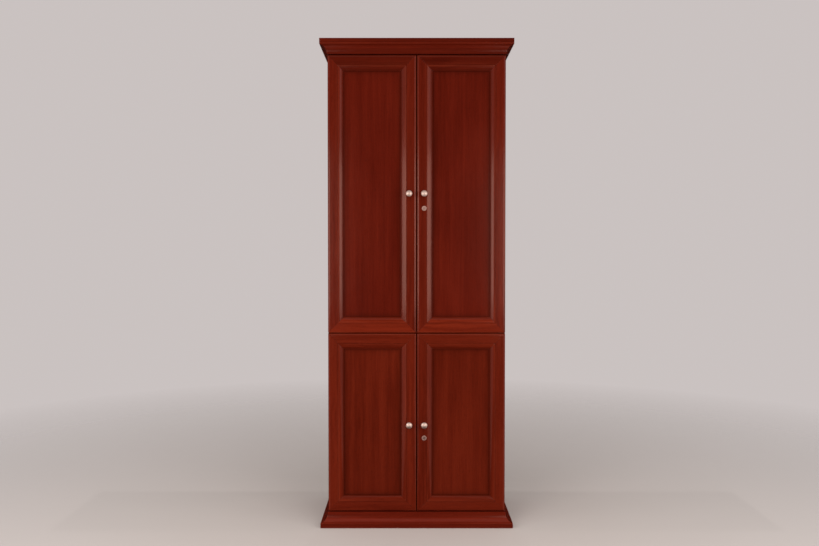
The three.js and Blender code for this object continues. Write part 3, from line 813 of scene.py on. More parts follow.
def addFrameMember(door, part, turn, seed, tone, warmth, cuts):
    name = f"{door}_{part}"
    low, high = doorExtent(door)
    start, end = memberPlaces(low, high, turn)
    piece = newPiece(name + "_moulded", run(frameOutline(doorFrame), start, end))
    soften(piece, doorFrame["softEdge"])
    if cuts:
        cutOut(piece, *cuts)

    def inward(point):
        return (point.x - low.x, high.z - point.z, high.x - point.x, point.z - low.z)[turn]

    # Painted shade: a dark line in the quirk, and darkening from before the lip down to the panel
    def paintedShade(point):
        if point.y > doorFront + doorFrame["groove"][1]:
            return 0.0
        lipStart, lipRun = doorFrame["paintedShadeBeforeLip"]
        beforeLip = min(max((inward(point) - lipStart) / lipRun, 0.0), 1.0)
        return min(ridge(inward(point), *doorFrame["paintedShadeInQuirk"]) + beforeLip, 1.0)

    # Painted highlight on the ovolo and on the rounded front and back edges
    def paintedLight(point):
        if point.y > doorFront + doorFrame["paintedHighlightDepth"]:
            return ridge(inward(point), *doorFrame["paintedHighlightOnBackEdge"])
        ovolo = ridge(inward(point), *doorFrame["paintedHighlightOnOvolo"])
        return min(ovolo + ridge(inward(point), *doorFrame["paintedHighlightOnEdge"]), 1.0)

    setValues(piece, "paintedShade", paintedShade)
    setValues(piece, "paintedLight", paintedLight)
    grain = "Z" if turn % 2 == 0 else "X"
    material = mahoganyMaterial(name + "_wood", grain, seed, tone, warmth, doorFrame["ribbon"],
                                doorFrame["figure"], paintedLight=True)
    finish(piece, material, bodyOf[name], "door_lacquer", name)


# Concealed hinges: where each cup is let into a door
hinge = {
    "pinInset": 0.0075,
    "pinDepth": 0.009,
    "pinRadius": 0.0014,
    "pinHalfLength": 0.0132,
    "cupInset": 0.0205,
    "cupRadius": 0.0175,
    "cupDepth": 0.013,
    "linerRadii": (0.0171, 0.01745),
    "linerDepth": 0.0129,
    "flangeThickness": 0.0006,
    "flangeRadii": (0.0173, 0.0188),
    "flangeEdgeGap": 0.0026,
    "earRadius": 0.006,
    "earPlace": (0.030, 0.0225),
    "armSoftEdge": 0.0005,
    "boreSides": 48,
    "flangeSides": 64,
    "earSides": 24,
    "pinSides": 20,
}
lockHole = {"radius": 0.0083, "nutRadius": 0.013, "nutDepth": 0.004, "sides": 48}


def hingeLevels(tier, side):
    names = [node for node in cadNodes if node.startswith(f"{tier}_{side}_hinge_arm")]
    return sorted(sum(corner.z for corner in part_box(node)) / 2 for node in names)


def doorEdge(tier, side):
    low, high = doorExtent(f"{tier}_{side}_door")
    return low.x if side == "left" else high.x


def doorCuts(tier, side, part):
    def bore(radius, x, z, front, sides):
        return bar(radius, (x, front, z), (x, doorBack + cutOverrun, z), sides)

    if part == "hinge_stile":
        x = doorEdge(tier, side) - (-1 if side == "left" else 1) * hinge["cupInset"]
        floor = doorBack - hinge["cupDepth"]
        return [bore(hinge["cupRadius"], x, z, floor, hinge["boreSides"]) for z in hingeLevels(tier, side)]
    if part == "meeting_stile" and side == "right":
        lock = middleOf(f"{tier}_lock_housing")
        through = bore(lockHole["radius"], lock.x, lock.z, doorFront - cutOverrun, lockHole["sides"])
        seatFloor = doorBack - lockHole["nutDepth"]
        return [through, bore(lockHole["nutRadius"], lock.x, lock.z, seatFloor, lockHole["sides"])]
    return []


# Tone and warmth of the wood, with painted light: the bottom rails of the upper doors are painted lightest on
# the front, as lit from above, and their top rails darkest, as painted shadow under the cornice
frameTonesAndPaintedLight = {
    ("upper", "top_rail"): (0.68, 0.0),
    ("upper", "bottom_rail"): (1.34, 0.12),
    ("upper", "hinge_stile"): (0.98, 0.0),
    ("upper", "meeting_stile"): (0.92, 0.02),
    ("lower", "top_rail"): (1.02, 0.10),
    ("lower", "bottom_rail"): (1.00, 0.08),
    ("lower", "hinge_stile"): (1.05, 0.08),
    ("lower", "meeting_stile"): (1.03, 0.08),
}
seed = 1
for tier in ("upper", "lower"):
    for side, outerTurn in (("left", 0), ("right", 2)):
        turns = {"hinge_stile": outerTurn, "top_rail": 1, "meeting_stile": 2 - outerTurn, "bottom_rail": 3}
        for part, turn in turns.items():
            cuts = doorCuts(tier, side, part)
            addFrameMember(f"{tier}_{side}_door", part, turn, seed, *frameTonesAndPaintedLight[(tier, part)], cuts)
            seed += 1
print("door frames made")

# Door panels: flat, with painted shade a little darker round the edge that meets the frame
doorPanel = {
    "tuck": 0.008,
    "rimSteps": (0.0, 0.004, 0.008, 0.010, 0.013, 0.018, 0.026, 0.040, 0.065),
    "rimShadeFade": 0.010,
    "tone": {"upper": (0.82, -0.06), "lower": (0.92, 0.10)},
}


def panelGrid(low, high):
    def lines(start, end):
        inner = [start + step for step in doorPanel["rimSteps"]]
        return inner + [(start + end) / 2] + [end - step for step in reversed(doorPanel["rimSteps"])]
    xs, zs = lines(low.x, high.x), lines(low.z, high.z)
    wide, tall, layer = len(xs), len(zs), len(xs) * len(zs)
    vertices, faces = [], []
    for y in (low.y, high.y):
        offset = len(vertices)
        vertices += [(x, y, z) for z in zs for x in xs]
        for row in range(tall - 1):
            for column in range(wide - 1):
                first = offset + row * wide + column
                faces.append((first, first + 1, first + wide + 1, first + wide))
    rim = list(range(wide)) + [row * wide + wide - 1 for row in range(1, tall)]
    rim += [(tall - 1) * wide + column for column in range(wide - 2, -1, -1)]
    rim += [row * wide for row in range(tall - 2, 0, -1)]
    for i, here in enumerate(rim):
        after = rim[(i + 1) % len(rim)]
        faces.append((here, after, after + layer, here + layer))
    return vertices, faces


def addPanel(tier, side, seed):
    name = f"{tier}_{side}_door_panel"
    low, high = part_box(name)
    piece = newPiece(name + "_veneered", panelGrid(low, high))

    # Painted shade round the rim, where the frame meets the panel
    def paintedShade(point):
        gaps = (point.x - low.x, high.x - point.x, point.z - low.z, high.z - point.z)
        return math.exp(-max(min(gaps) - doorPanel["tuck"], 0.0) / doorPanel["rimShadeFade"])

    setValues(piece, "paintedShade", paintedShade)
    setValues(piece, "paintedLight", lambda point: 0.0)
    material = mahoganyMaterial(name + "_wood", "Z", seed, *doorPanel["tone"][tier], paintedLight=True)
    finish(piece, material, bodyOf[name], "door_lacquer", name)


for tier in ("upper", "lower"):
    for side in ("left", "right"):
        addPanel(tier, side, seed)
        seed += 1
print("door panels made")

# Cornice and plinth: lengths of one cove moulding, made by a node tree. The cornice widens upwards
coves = {
    # The tones are partly painted light: the plinth painted lighter than the cornice, as lit from above, and
    # the side returns darker than the fronts, as painted shade
    "cornice": {"height": 0.0398, "lip": 0.005, "up": 1.0,
                "tone": {"front": 0.98, "right": 0.90, "left": 0.90},
                "paintedShadeInHollow": 0.6, "paintedShadeUnderLip": 0.15, "paintedHighlightOnNose": 0.3},
    "base_moulding": {"height": 0.0408, "lip": 0.002, "up": -1.0,
                      "tone": {"front": 1.40, "right": 1.20, "left": 1.20},
                      "paintedShadeInHollow": 0.6, "paintedShadeUnderLip": 0.0, "paintedHighlightOnNose": 0.9},
    "reach": 0.030,
    "thinEdge": 0.003,
    "mitreGap": 0.0003,
    "wallGap": 0.0002,
    "steps": 28,
    "softEdge": 0.0005,
    "ribbon": 0.8,
    "figure": 0.4,
    # Spreads of the painted shade and of the painted highlight
    "paintedShadeSpread": 0.004,
    "paintedShadePastThinEdge": 0.001,
    "paintedShadeBelowLip": 0.002,
    "paintedHighlightSpread": 0.0016,
}


def coveTree():
    sockets = {
        "Geometry": ("NodeSocketGeometry", None),
        "Height": ("NodeSocketFloat", 0.04),
        "Lip": ("NodeSocketFloat", 0.005),
        "Reach": ("NodeSocketFloat", 0.03),
        "Thin Edge": ("NodeSocketFloat", 0.003),
        "Back Depth": ("NodeSocketFloat", 0.0),
        "Up": ("NodeSocketFloat", 1.0),
        "Start": ("NodeSocketFloat", -0.1),
        "End": ("NodeSocketFloat", 0.1),
        "Mitre Start": ("NodeSocketFloat", 0.0),
        "Mitre End": ("NodeSocketFloat", 0.0),
        "Curve Steps": ("NodeSocketInt", 28),
        "Wood": ("NodeSocketMaterial", None),
    }
    tree, given, out = newGroup("cove_moulding", "GeometryNodeTree", sockets,
                                {"Geometry": "NodeSocketGeometry"})

    def minus(first, second):
        return math2(tree, "SUBTRACT", first, second)

    def choose(test, whenNot, when):
        inputs = {"Switch": test, "False": whenNot, "True": when}
        return add(tree, "GeometryNodeSwitch", inputs, input_type="FLOAT").outputs[0]

    def reached(value, level):
        settings = {"data_type": "FLOAT", "operation": "GREATER_EQUAL"}
        return add(tree, "FunctionNodeCompare", {"A": value, "B": level}, **settings).outputs[0]

    # The outline: a quarter of an oval in equal steps, then four corners, which are the lip's outer end, the
    # top and the foot at the wall, and the thin edge
    steps, corners = given["Curve Steps"], 4
    index = add(tree, "GeometryNodeInputIndex").outputs[0]
    angle = times(tree, math2(tree, "DIVIDE", math2(tree, "MINIMUM", index, steps), steps), quarterTurn)
    hollow = times(tree, minus(given["Reach"], given["Thin Edge"]), math2(tree, "COSINE", angle, 0.0))
    rise = minus(minus(given["Height"], given["Lip"]), given["Thin Edge"])
    coveUp = plus(tree, given["Thin Edge"], times(tree, rise, math2(tree, "SINE", angle, 0.0)))
    corner = minus(index, steps)
    wall = times(tree, given["Back Depth"], -1.0)
    cornerOut = choose(reached(corner, 2.0), given["Reach"], wall)
    cornerOut = choose(reached(corner, 4.0), cornerOut, given["Thin Edge"])
    cornerUp = choose(reached(corner, 3.0), given["Height"], 0.0)
    isCorner = reached(corner, 1.0)
    outward = choose(isCorner, minus(given["Reach"], hollow), cornerOut)
    upward = times(tree, choose(isCorner, coveUp, cornerUp), given["Up"])
    place = add(tree, "ShaderNodeCombineXYZ", {"X": outward, "Y": upward}).outputs[0]
    line = add(tree, "GeometryNodeMeshLine", {"Count": plus(tree, steps, 1 + corners)})
    shaped = add(tree, "GeometryNodeSetPosition", {"Geometry": line.outputs[0], "Position": place})
    outline = add(tree, "GeometryNodeMeshToCurve", {"Mesh": shaped.outputs[0]})
    closed = add(tree, "GeometryNodeSetSplineCyclic", {"Geometry": outline.outputs[0], "Cyclic": True})
    face = add(tree, "GeometryNodeFillCurve", {"Curve": closed.outputs[0]}, mode="NGONS").outputs[0]

    # The length: one metre long and closed at first, then each end moved to its own mitre
    length = add(tree, "GeometryNodeExtrudeMesh", {
        "Mesh": face, "Offset": (0, 0, 1), "Offset Scale": 1.0, "Individual": False})
    both = add(tree, "GeometryNodeJoinGeometry")
    tree.links.new(length.outputs["Mesh"], both.inputs[0])
    tree.links.new(add(tree, "GeometryNodeFlipFaces", {"Mesh": face}).outputs[0], both.inputs[0])
    whole = add(tree, "GeometryNodeMergeByDistance", {"Geometry": both.outputs[0], "Distance": mouldingWeld})
    position = add(tree, "GeometryNodeInputPosition").outputs[0]
    x, y, z = add(tree, "ShaderNodeSeparateXYZ", {0: position}).outputs
    beyond = math2(tree, "MAXIMUM", x, 0.0)
    startAt = minus(given["Start"], times(tree, beyond, given["Mitre Start"]))
    endAt = plus(tree, given["End"], times(tree, beyond, given["Mitre End"]))
    moved = add(tree, "ShaderNodeCombineXYZ", {"X": x, "Y": y, "Z": choose(reached(z, 0.5), startAt, endAt)})
    mitred = add(tree, "GeometryNodeSetPosition", {
        "Geometry": whole.outputs[0], "Position": moved.outputs[0]})
    real = add(tree, "GeometryNodeRealizeInstances", {"Geometry": mitred.outputs[0]})
    clad = add(tree, "GeometryNodeSetMaterial", {"Geometry": real.outputs[0], "Material": given["Wood"]})
    tree.links.new(clad.outputs[0], out.inputs[0])
    return tree


def runTree(piece, tree, values):
    modifier = piece.modifiers.new(tree.name, "NODES")
    modifier.node_group = tree
    for item in tree.interface.items_tree:
        if item.in_out == "INPUT" and item.name in values:
            modifier[item.identifier] = values[item.name]
    settle(piece)


coveNodes = coveTree()
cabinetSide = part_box("side_panel_right")[1].x
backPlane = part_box("side_panel_right")[1].y


# Each length lies along a wall: which way is outward, how far out that wall is, how far the length goes on
# behind it, and where along the wall it starts and ends, with a mitre of 1 or none at each end
def coveLengths(name):
    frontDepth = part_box(f"{name}_front")[1].y - doorFront
    frontEnd = -doorFront - coves["mitreGap"]
    return {
        "front": {"outward": (0, -1, 0), "wall": -doorFront, "backDepth": frontDepth,
                  "span": (-cabinetSide, cabinetSide), "mitres": (1.0, 1.0), "grain": "X"},
        "right": {"outward": (1, 0, 0), "wall": cabinetSide, "backDepth": -coves["wallGap"],
                  "span": (-backPlane, frontEnd), "mitres": (0.0, 1.0), "grain": "Y"},
        "left": {"outward": (-1, 0, 0), "wall": cabinetSide, "backDepth": -coves["wallGap"],
                 "span": (-frontEnd, backPlane), "mitres": (1.0, 0.0), "grain": "Y"},
    }


# The tree's X is outward, its Y up and its Z along the wall
def standCove(piece, outward, wall, level):
    upward = Vector((0, 0, 1))
    turn = Matrix((outward, upward, outward.cross(upward))).transposed().to_4x4()
    piece.data.transform(Matrix.Translation((0, 0, level)) @ turn @ Matrix.Translation((wall, 0, 0)))
    form = bmesh.new()
    form.from_mesh(piece.data)
    bmesh.ops.recalc_face_normals(form, faces=form.faces)
    form.to_mesh(piece.data)
    form.free()


def addCove(name, label, site, seed):
    sizes = coves[name]
    node = f"{name}_{label}"
    material = mahoganyMaterial(node + "_wood", site["grain"], seed, sizes["tone"][label],
                                ribbon=coves["ribbon"], figure=coves["figure"], paintedLight=True)
    piece = newPiece(node + "_cove", ([], []))
    runTree(piece, coveNodes, {
        "Height": sizes["height"], "Lip": sizes["lip"], "Up": sizes["up"], "Reach": coves["reach"],
        "Thin Edge": coves["thinEdge"], "Back Depth": site["backDepth"], "Start": site["span"][0],
        "End": site["span"][1], "Mitre Start": site["mitres"][0], "Mitre End": site["mitres"][1],
        "Curve Steps": coves["steps"], "Wood": material,
    })
    outward = Vector(site["outward"])
    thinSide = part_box(f"{name}_front")[0 if sizes["up"] > 0 else 1].z
    standCove(piece, outward, site["wall"], thinSide)
    soften(piece, coves["softEdge"])

    # Painted shade in the hollow by the thin edge and under the lip
    def paintedShade(point):
        out, up = point.dot(outward) - site["wall"], (point.z - thinSide) * sizes["up"]
        hollowFoot = coves["thinEdge"] + coves["paintedShadePastThinEdge"]
        lipFoot = sizes["height"] - sizes["lip"] - coves["paintedShadeBelowLip"]
        return max(ridge(out, sizes["paintedShadeInHollow"], hollowFoot, coves["paintedShadeSpread"]),
                   ridge(up, sizes["paintedShadeUnderLip"], lipFoot, coves["paintedShadeSpread"]))

    # Painted highlight along the cove's nose
    def paintedLight(point):
        out = point.dot(outward) - site["wall"]
        return ridge(out, sizes["paintedHighlightOnNose"], coves["reach"], coves["paintedHighlightSpread"])

    setValues(piece, "paintedShade", paintedShade)
    setValues(piece, "paintedLight", paintedLight)
    finish(piece, material, bodyOf[node], "carcass_lacquer", node)


for name in ("cornice", "base_moulding"):
    for label, site in coveLengths(name).items():
        addCove(name, label, site, seed)
        seed += 1
print("mouldings made")

# Boards of the carcass: their own shapes with softened edges, each in its own wood
boards = {
    "base_board": {"grain": "X", "tone": 0.92, "ribbon": 0.8},
    "cap_board": {"grain": "X", "tone": 0.72, "ribbon": 0.8},
    "side_panel_left": {"grain": "Z", "tone": 0.95, "ribbon": 1.0},
    "side_panel_right": {"grain": "Z", "tone": 0.95, "ribbon": 1.0},
    "bottom_board": {"grain": "X", "tone": 1.0, "ribbon": 0.8},
    "divider_board": {"grain": "X", "tone": 1.0, "ribbon": 0.8},
    "top_board": {"grain": "X", "tone": 0.95, "ribbon": 0.8},
    "lower_shelf_1": {"grain": "X", "tone": 1.15, "ribbon": 0.8},
    "upper_shelf_1": {"grain": "X", "tone": 1.1, "ribbon": 0.8},
    "upper_shelf_2": {"grain": "X", "tone": 1.12, "ribbon": 0.8},
}
boardFigure = 0.8
boardSoftEdge = 0.0004
boardSharpAngle = 50
shelfGloss = 0.42


def addBoard(node, look, seed):
    slotName, gloss = "carcass_lacquer", mahogany["gloss"]
    if "shelf" in node:
        slotName, gloss = "shelf_laminate", shelfGloss
    material = mahoganyMaterial(node + "_wood", seed=seed, figure=boardFigure, gloss=gloss, **look)
    finish(softened(node, boardSoftEdge), material, bodyOf[node], slotName, node, sharp=boardSharpAngle)


for node, look in boards.items():
    addBoard(node, look, seed)
    seed += 1
for holder in cadNodes["back_panel"].material_slots:
    holder.material = backMaterial
print("boards made")


# Screws and nails: a head set on each point of a mesh by a node tree, facing the way that the point says.
# Rings of a head are (radius, level), as shares of its radius
screwHead = {
    "rings": ((1.0, -0.15), (1.0, 0.10), (0.84, 0.24)),
    "sides": 16,
    "crossArm": (0.48, 0.12),
    "crossDepth": 0.30,
}
nailHead = {"rings": ((1.0, -0.20), (1.0, 0.10), (0.70, 0.24)), "sides": 10}


def headShell(rings, sides, crossArm=None, crossDepth=0.0):
    vertices = [(*point, level) for radius, level in rings for point in ringPoints(radius, sides)]
    faces = [tuple(range(sides))]
    for row in range(len(rings) - 1):
        for i in range(sides):
            here, after = row * sides + i, row * sides + (i + 1) % sides
            faces.append((here, after, after + sides, here + sides))
    rim = len(vertices) - sides
    if crossArm is None:
        return vertices, faces + [tuple(range(rim, rim + sides))]
    top = rings[-1][1]
    reach, half = crossArm
    quarter = [(reach, -half), (reach, half), (half, half)]
    cross = []
    for _ in range(4):
        cross += quarter
        quarter = [(-y, x) for x, y in quarter]
    outer = [Vector(vertex) for vertex in vertices[rim:]]
    faces += [tuple(rim + index for index in triangle)
              for triangle in tessellate_polygon([outer, [Vector((x, y, top)) for x, y in cross]])]
    vertices += [(x, y, level) for level in (top, top - crossDepth) for x, y in cross]
    first, count = rim + sides, len(cross)
    for i in range(count):
        here, after = first + i, first + (i + 1) % count
        faces.append((here, after, after + count, here + count))
    return vertices, faces + [tuple(range(first + count, first + 2 * count))]


def fastenerTree():
    sockets = {
        "Points": ("NodeSocketGeometry", None),
        "Fastener": ("NodeSocketObject", None),
        "Size": ("NodeSocketFloat", 1.0),
        "Seed": ("NodeSocketInt", 0),
        "Metal": ("NodeSocketMaterial", None),
    }
    tree, given, out = newGroup("set_fasteners", "GeometryNodeTree", sockets,
                                {"Geometry": "NodeSocketGeometry"})

    def named(label, kind):
        return add(tree, "GeometryNodeInputNamedAttribute", {"Name": label}, data_type=kind).outputs[0]

    facing = named("facing", "FLOAT_VECTOR")
    aimed = add(tree, "FunctionNodeAlignRotationToVector", {"Vector": facing}, axis="Z").outputs[0]
    spin = add(tree, "FunctionNodeRandomValue", {3: math.tau, "Seed": given["Seed"]}, data_type="FLOAT")
    spun = add(tree, "FunctionNodeAxisAngleToRotation", {"Axis": (0, 0, 1), "Angle": spin.outputs[1]})
    rotation = add(tree, "FunctionNodeRotateRotation", {"Rotation": aimed, "Rotate By": spun.outputs[0]},
                   rotation_space="LOCAL")
    fastener = add(tree, "GeometryNodeObjectInfo", {"Object": given["Fastener"], "As Instance": True})
    heads = add(tree, "GeometryNodeInstanceOnPoints", {
        "Points": given["Points"], "Instance": fastener.outputs["Geometry"], "Rotation": rotation.outputs[0],
        "Scale": times(tree, named("wide", "FLOAT"), given["Size"])})
    real = add(tree, "GeometryNodeRealizeInstances", {"Geometry": heads.outputs[0]})
    clad = add(tree, "GeometryNodeSetMaterial", {"Geometry": real.outputs[0], "Material": given["Metal"]})
    tree.links.new(clad.outputs[0], out.inputs[0])
    return tree


fastenerNodes = fastenerTree()
screw = newPiece("screw_head", headShell(**screwHead))
nail = newPiece("nail_head", headShell(**nailHead))


# Each place is a point, the way that its head faces, and the head's radius
def setHeads(name, places, fastener, body):
    mesh = bpy.data.meshes.new(name)
    mesh.from_pydata([place for place, _, _ in places], [], [])
    facing = mesh.attributes.new("facing", "FLOAT_VECTOR", "POINT")
    facing.data.foreach_set("vector", [value for _, way, _ in places for value in way])
    wide = mesh.attributes.new("wide", "FLOAT", "POINT")
    wide.data.foreach_set("value", [radius for _, _, radius in places])
    piece = bpy.data.objects.new(name, mesh)
    scene.collection.objects.link(piece)
    values = {"Fastener": fastener, "Size": 1.0, "Seed": len(places), "Metal": metal["screw_zinc"]}
    runTree(piece, fastenerNodes, values)
    finish(piece, metal["screw_zinc"], body, "fitting_steel")


screwPlaces = {body: [] for body in frame["bodies"]}
outwards, down = (0, 1, 0), (0, 0, -1)


# A hinge cup let into a door, with its flange and its pin
def hingeCup(edge, way, z):
    inset, depth = hinge["cupInset"], hinge["linerDepth"]
    inner, outer = hinge["linerRadii"]
    wall = outer - inner
    profile = [(0, 0), (outer, 0), (outer, depth), (inner, depth), (inner, wall), (0, wall)]
    floor = (edge - way * inset, doorBack - depth, z)
    liner = turned(profile, floor, (0, 1, 0), hinge["boreSides"])
    hole, rim = hinge["flangeRadii"]
    earIn, earUp = hinge["earPlace"]
    circle = ringPoints(rim, hinge["flangeSides"], (inset, 0))
    points = [(max(u, hinge["flangeEdgeGap"]), v) for u, v in circle]
    for up in (earUp, -earUp):
        points += ringPoints(hinge["earRadius"], hinge["earSides"], (earIn, up))
    hull = [points[index] for index in convex_hull_2d(points)]

    def place(u, v, t):
        return (edge - way * u, doorBack + t, z + v)

    opening = ringPoints(hole, hinge["boreSides"], (inset, 0))
    flange = plate(hull, [opening], hinge["flangeThickness"], place)
    pinX, pinY, half = edge - way * hinge["pinInset"], doorBack - hinge["pinDepth"], hinge["pinHalfLength"]
    pin = bar(hinge["pinRadius"], (pinX, pinY, z - half), (pinX, pinY, z + half), hinge["pinSides"])
    return joined(liner, flange, pin)


hingeScrews = {
    "cupScrew": 0.0032,
    "plateScrew": 0.0032,
    "plateThickness": 0.003,
    "plateScrewY": -0.124,
    "plateScrewRise": 0.0145,
    "adjuster": 0.0026,
    "adjusterY": -0.122,
    "adjusterSpread": 0.016,
}


def addHingeCups(tier, side, way):
    door = f"{tier}_{side}_door"
    edge = doorEdge(tier, side)
    levels = hingeLevels(tier, side)
    piece = newPiece(door + "_hinge_cups", joined(*(hingeCup(edge, way, z) for z in levels)))
    finish(piece, metal["fitting_nickel"], door, "fitting_steel")
    earIn, earUp = hinge["earPlace"]
    for z in levels:
        for up in (-1, 1):
            place = (edge - way * earIn, doorBack + hinge["flangeThickness"], z + up * earUp)
            screwPlaces[door].append((place, outwards, hingeScrews["cupScrew"]))


for tier in ("upper", "lower"):
    addHingeCups(tier, "left", -1)
    addHingeCups(tier, "right", 1)
print("hinge cups made")


# Hinge arms: softened, with the screws of the cross plate and the two adjusting screws
def addHingeArm(node):
    low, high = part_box(node)
    middle = middleOf(node)
    way = 1 if middle.x > 0 else -1
    armFace, sideFace = (low.x, high.x) if way > 0 else (high.x, low.x)
    plateFace = sideFace - way * hingeScrews["plateThickness"]
    for up in (-1, 1):
        place = (plateFace, hingeScrews["plateScrewY"], middle.z + up * hingeScrews["plateScrewRise"])
        screwPlaces["carcass"].append((place, (-way, 0, 0), hingeScrews["plateScrew"]))
        place = (armFace, hingeScrews["adjusterY"] + up * hingeScrews["adjusterSpread"], middle.z)
        screwPlaces["carcass"].append((place, (-way, 0, 0), hingeScrews["adjuster"]))
    finish(softened(node, hinge["armSoftEdge"]), metal["fitting_nickel"], bodyOf[node], "fitting_steel", node)


for node in [node for node in cadNodes if "hinge_arm" in node]:
    addHingeArm(node)
print("hinge arms made")

# Knobs: a domed head, a waist and a rose
knob = {
    "radius": 0.013,
    "projection": 0.024,
    "headDepth": 0.009,
    "neckRadius": 0.005,
    "rose": (0.0085, 0.0025),
    "seam": 0.0002,
    "sides": 64,
    "curveSteps": 16,
}


def knobProfile(sizes):
    radius, reach, neck = sizes["radius"], sizes["projection"], sizes["neckRadius"]
    roseRadius, roseDepth = sizes["rose"]
    steps = sizes["curveSteps"]
    headBack = sizes["headDepth"] - reach
    shoulder = headBack - sizes["headDepth"] / 2
    brim = headBack - sizes["headDepth"] / 4
    waist = (headBack - roseDepth) / 2
    points = [(0, -reach)]
    points += curve([(0, -reach), (radius / 2, -reach), (radius, shoulder), (radius, brim)], steps)
    points += curve([(radius, brim), (radius, headBack), (neck, waist)], steps)
    points += curve([(neck, waist), (neck, -roseDepth), (roseRadius, -roseDepth)], steps)
    return points + [(roseRadius, -sizes["seam"]), (0, -sizes["seam"])]


def addKnob(node):
    middle = middleOf(node)
    shell = turned(knobProfile(knob), (middle.x, doorFront, middle.z), (0, 1, 0), knob["sides"])
    finish(newPiece(node + "_turned", shell), metal["knob_satin"], bodyOf[node], "knob_metal", node)


for node in [node for node in cadNodes if "knob" in node]:
    addKnob(node)
print("knobs made")

# Cam locks. Places along the lock's axis are counted back from the door's front, and the strike plate's
# across from the middle of the cabinet
lock = {
    "flange": ((0.0056, -0.0025), (0.0092, -0.0025), (0.010, -0.0017), (0.010, -0.0002)),
    "barrel": ((0.008, -0.0002), (0.008, 0.023), (0.0056, 0.023)),
    "nut": (0.012, 0.0182, 0.0212),
    "nutPlay": 0.0001,
    "plugRadius": 0.0052,
    "plugEnds": (-0.0021, 0.0245),
    "keyway": (0.002, 0.007, 0.008),
    "cam": (0.0233, 0.0258),
    "camHalfWidths": (0.007, 0.005),
    "camReach": 0.040,
    "camNut": (0.006, 0.0258, 0.0293),
    "softEdge": 0.00025,
    "softAngle": 30,
    "plugSoftAngle": 50,
    "sides": 64,
    "nutHoleSides": 32,
    "camArcSteps": 24,
    "strike": (-0.0145, -0.0045, 0.016),
    "strikeThickness": 0.0006,
    "strikeScrew": (0.012, 0.0019),
}


def lockPlace(tier):
    centre = middleOf(f"{tier}_lock_housing")

    def place(x, z, y):
        return (centre.x + x, doorFront + y, centre.z + z)
    return place


def hexNut(place, radius, front, back, hole=0):
    outer = ringPoints(radius, 6, start=quarterTurn)
    inner = [ringPoints(hole, lock["nutHoleSides"])] if hole else []
    return plate(outer, inner, back - front, lambda x, z, t: place(x, z, front + t))


# The flanged barrel, and the nut that holds it in the door
def addLockHousing(tier, place):
    door = f"{tier}_right_door"
    barrel = turned(lock["flange"] + lock["barrel"], place(0, 0, 0), (0, 1, 0), lock["sides"], ring=True)
    housing = newPiece(f"{tier}_lock_housing_turned", barrel)
    soften(housing, lock["softEdge"], lock["softAngle"])
    finish(housing, metal["lock_nickel"], door, "lock_metal", f"{tier}_lock_housing")
    hole = lock["barrel"][0][0] + lock["nutPlay"]
    nut = newPiece(f"{tier}_lock_nut", hexNut(place, *lock["nut"], hole))
    soften(nut, lock["softEdge"], lock["softAngle"])
    finish(nut, metal["fitting_nickel"], door, "lock_metal")


def addLockPlug(tier, place):
    front, back = lock["plugEnds"]
    shell = bar(lock["plugRadius"], place(0, 0, front), place(0, 0, back), lock["sides"])
    plug = newPiece(f"{tier}_lock_plug", shell)
    wide, tall, deep = lock["keyway"]
    low, high = place(-wide / 2, -tall / 2, front - cutOverrun), place(wide / 2, tall / 2, front + deep)
    cutOut(plug, block(low, high))
    soften(plug, lock["softEdge"], lock["plugSoftAngle"])
    finish(plug, metal["plug_nickel"], f"{tier}_cam", "lock_metal")


# The cam hangs down from the plug, round at its upper end, with its nut behind it
def addLockCam(tier, place):
    half, tipHalf = lock["camHalfWidths"]
    outline = arc((0, 0), (half, half), 0, math.pi, lock["camArcSteps"])
    outline += [(-tipHalf, -lock["camReach"]), (tipHalf, -lock["camReach"])]
    front, back = lock["cam"]
    camPlate = plate(outline, [], back - front, lambda x, z, t: place(x, z, front + t))
    cam = newPiece(f"{tier}_lock_cam_plate", joined(camPlate, hexNut(place, *lock["camNut"])))
    soften(cam, lock["softEdge"], lock["softAngle"])
    finish(cam, metal["fitting_nickel"], f"{tier}_cam", "fitting_steel", f"{tier}_lock_cam")


# The strike plate on the left-hand door, which the turned cam lies behind
def addLockStrike(tier):
    level = middleOf(f"{tier}_lock_housing").z
    door = f"{tier}_left_door"
    near, far, half = lock["strike"]
    corners = [(near, -half), (far, -half), (far, half), (near, half)]
    shell = plate(corners, [], lock["strikeThickness"], lambda x, z, t: (x, doorBack + t, level + z))
    strike = newPiece(f"{tier}_lock_strike", shell)
    soften(strike, lock["softEdge"])
    finish(strike, metal["fitting_nickel"], door, "fitting_steel")
    rise, radius = lock["strikeScrew"]
    for up in (-1, 1):
        point = ((near + far) / 2, doorBack + lock["strikeThickness"], level + up * rise)
        screwPlaces[door].append((point, outwards, radius))


for tier in ("upper", "lower"):
    place = lockPlace(tier)
    addLockHousing(tier, place)
    addLockPlug(tier, place)
    addLockCam(tier, place)
    addLockStrike(tier)
print("locks made")

# Slide bolts: softened, with their screws, and a strike plate under the board that each one slides into
bolt = {
    "softEdge": 0.0004,
    "screwAcross": 0.0071,
    "screwEndGap": 0.0045,
    "screwRadius": 0.0016,
    "plateFace": 0.0022,
    "rodRadius": 0.00275,
    "strikeSize": (0.012, 0.007),
    "strikeMiddle": -0.1535,
    "strikeThickness": 0.0008,
    "strikeSoftEdge": 0.00025,
    "strikeSoftAngle": 50,
    "holeRadius": 0.00375,
    "holeSides": 32,
    "strikeScrew": (0.009, 0.0018),
}


def addBolt(tier):
    guide = f"{tier}_bolt_guide"
    low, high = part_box(guide)
    for across in (-1, 1):
        for z in (low.z + bolt["screwEndGap"], high.z - bolt["screwEndGap"]):
            x = (low.x + high.x) / 2 + across * bolt["screwAcross"]
            place = (x, doorBack + bolt["plateFace"], z)
            screwPlaces[bodyOf[guide]].append((place, outwards, bolt["screwRadius"]))
    for node in (guide, f"{tier}_bolt_rod"):
        finish(softened(node, bolt["softEdge"]), metal["fitting_nickel"], bodyOf[node], "fitting_steel", node)


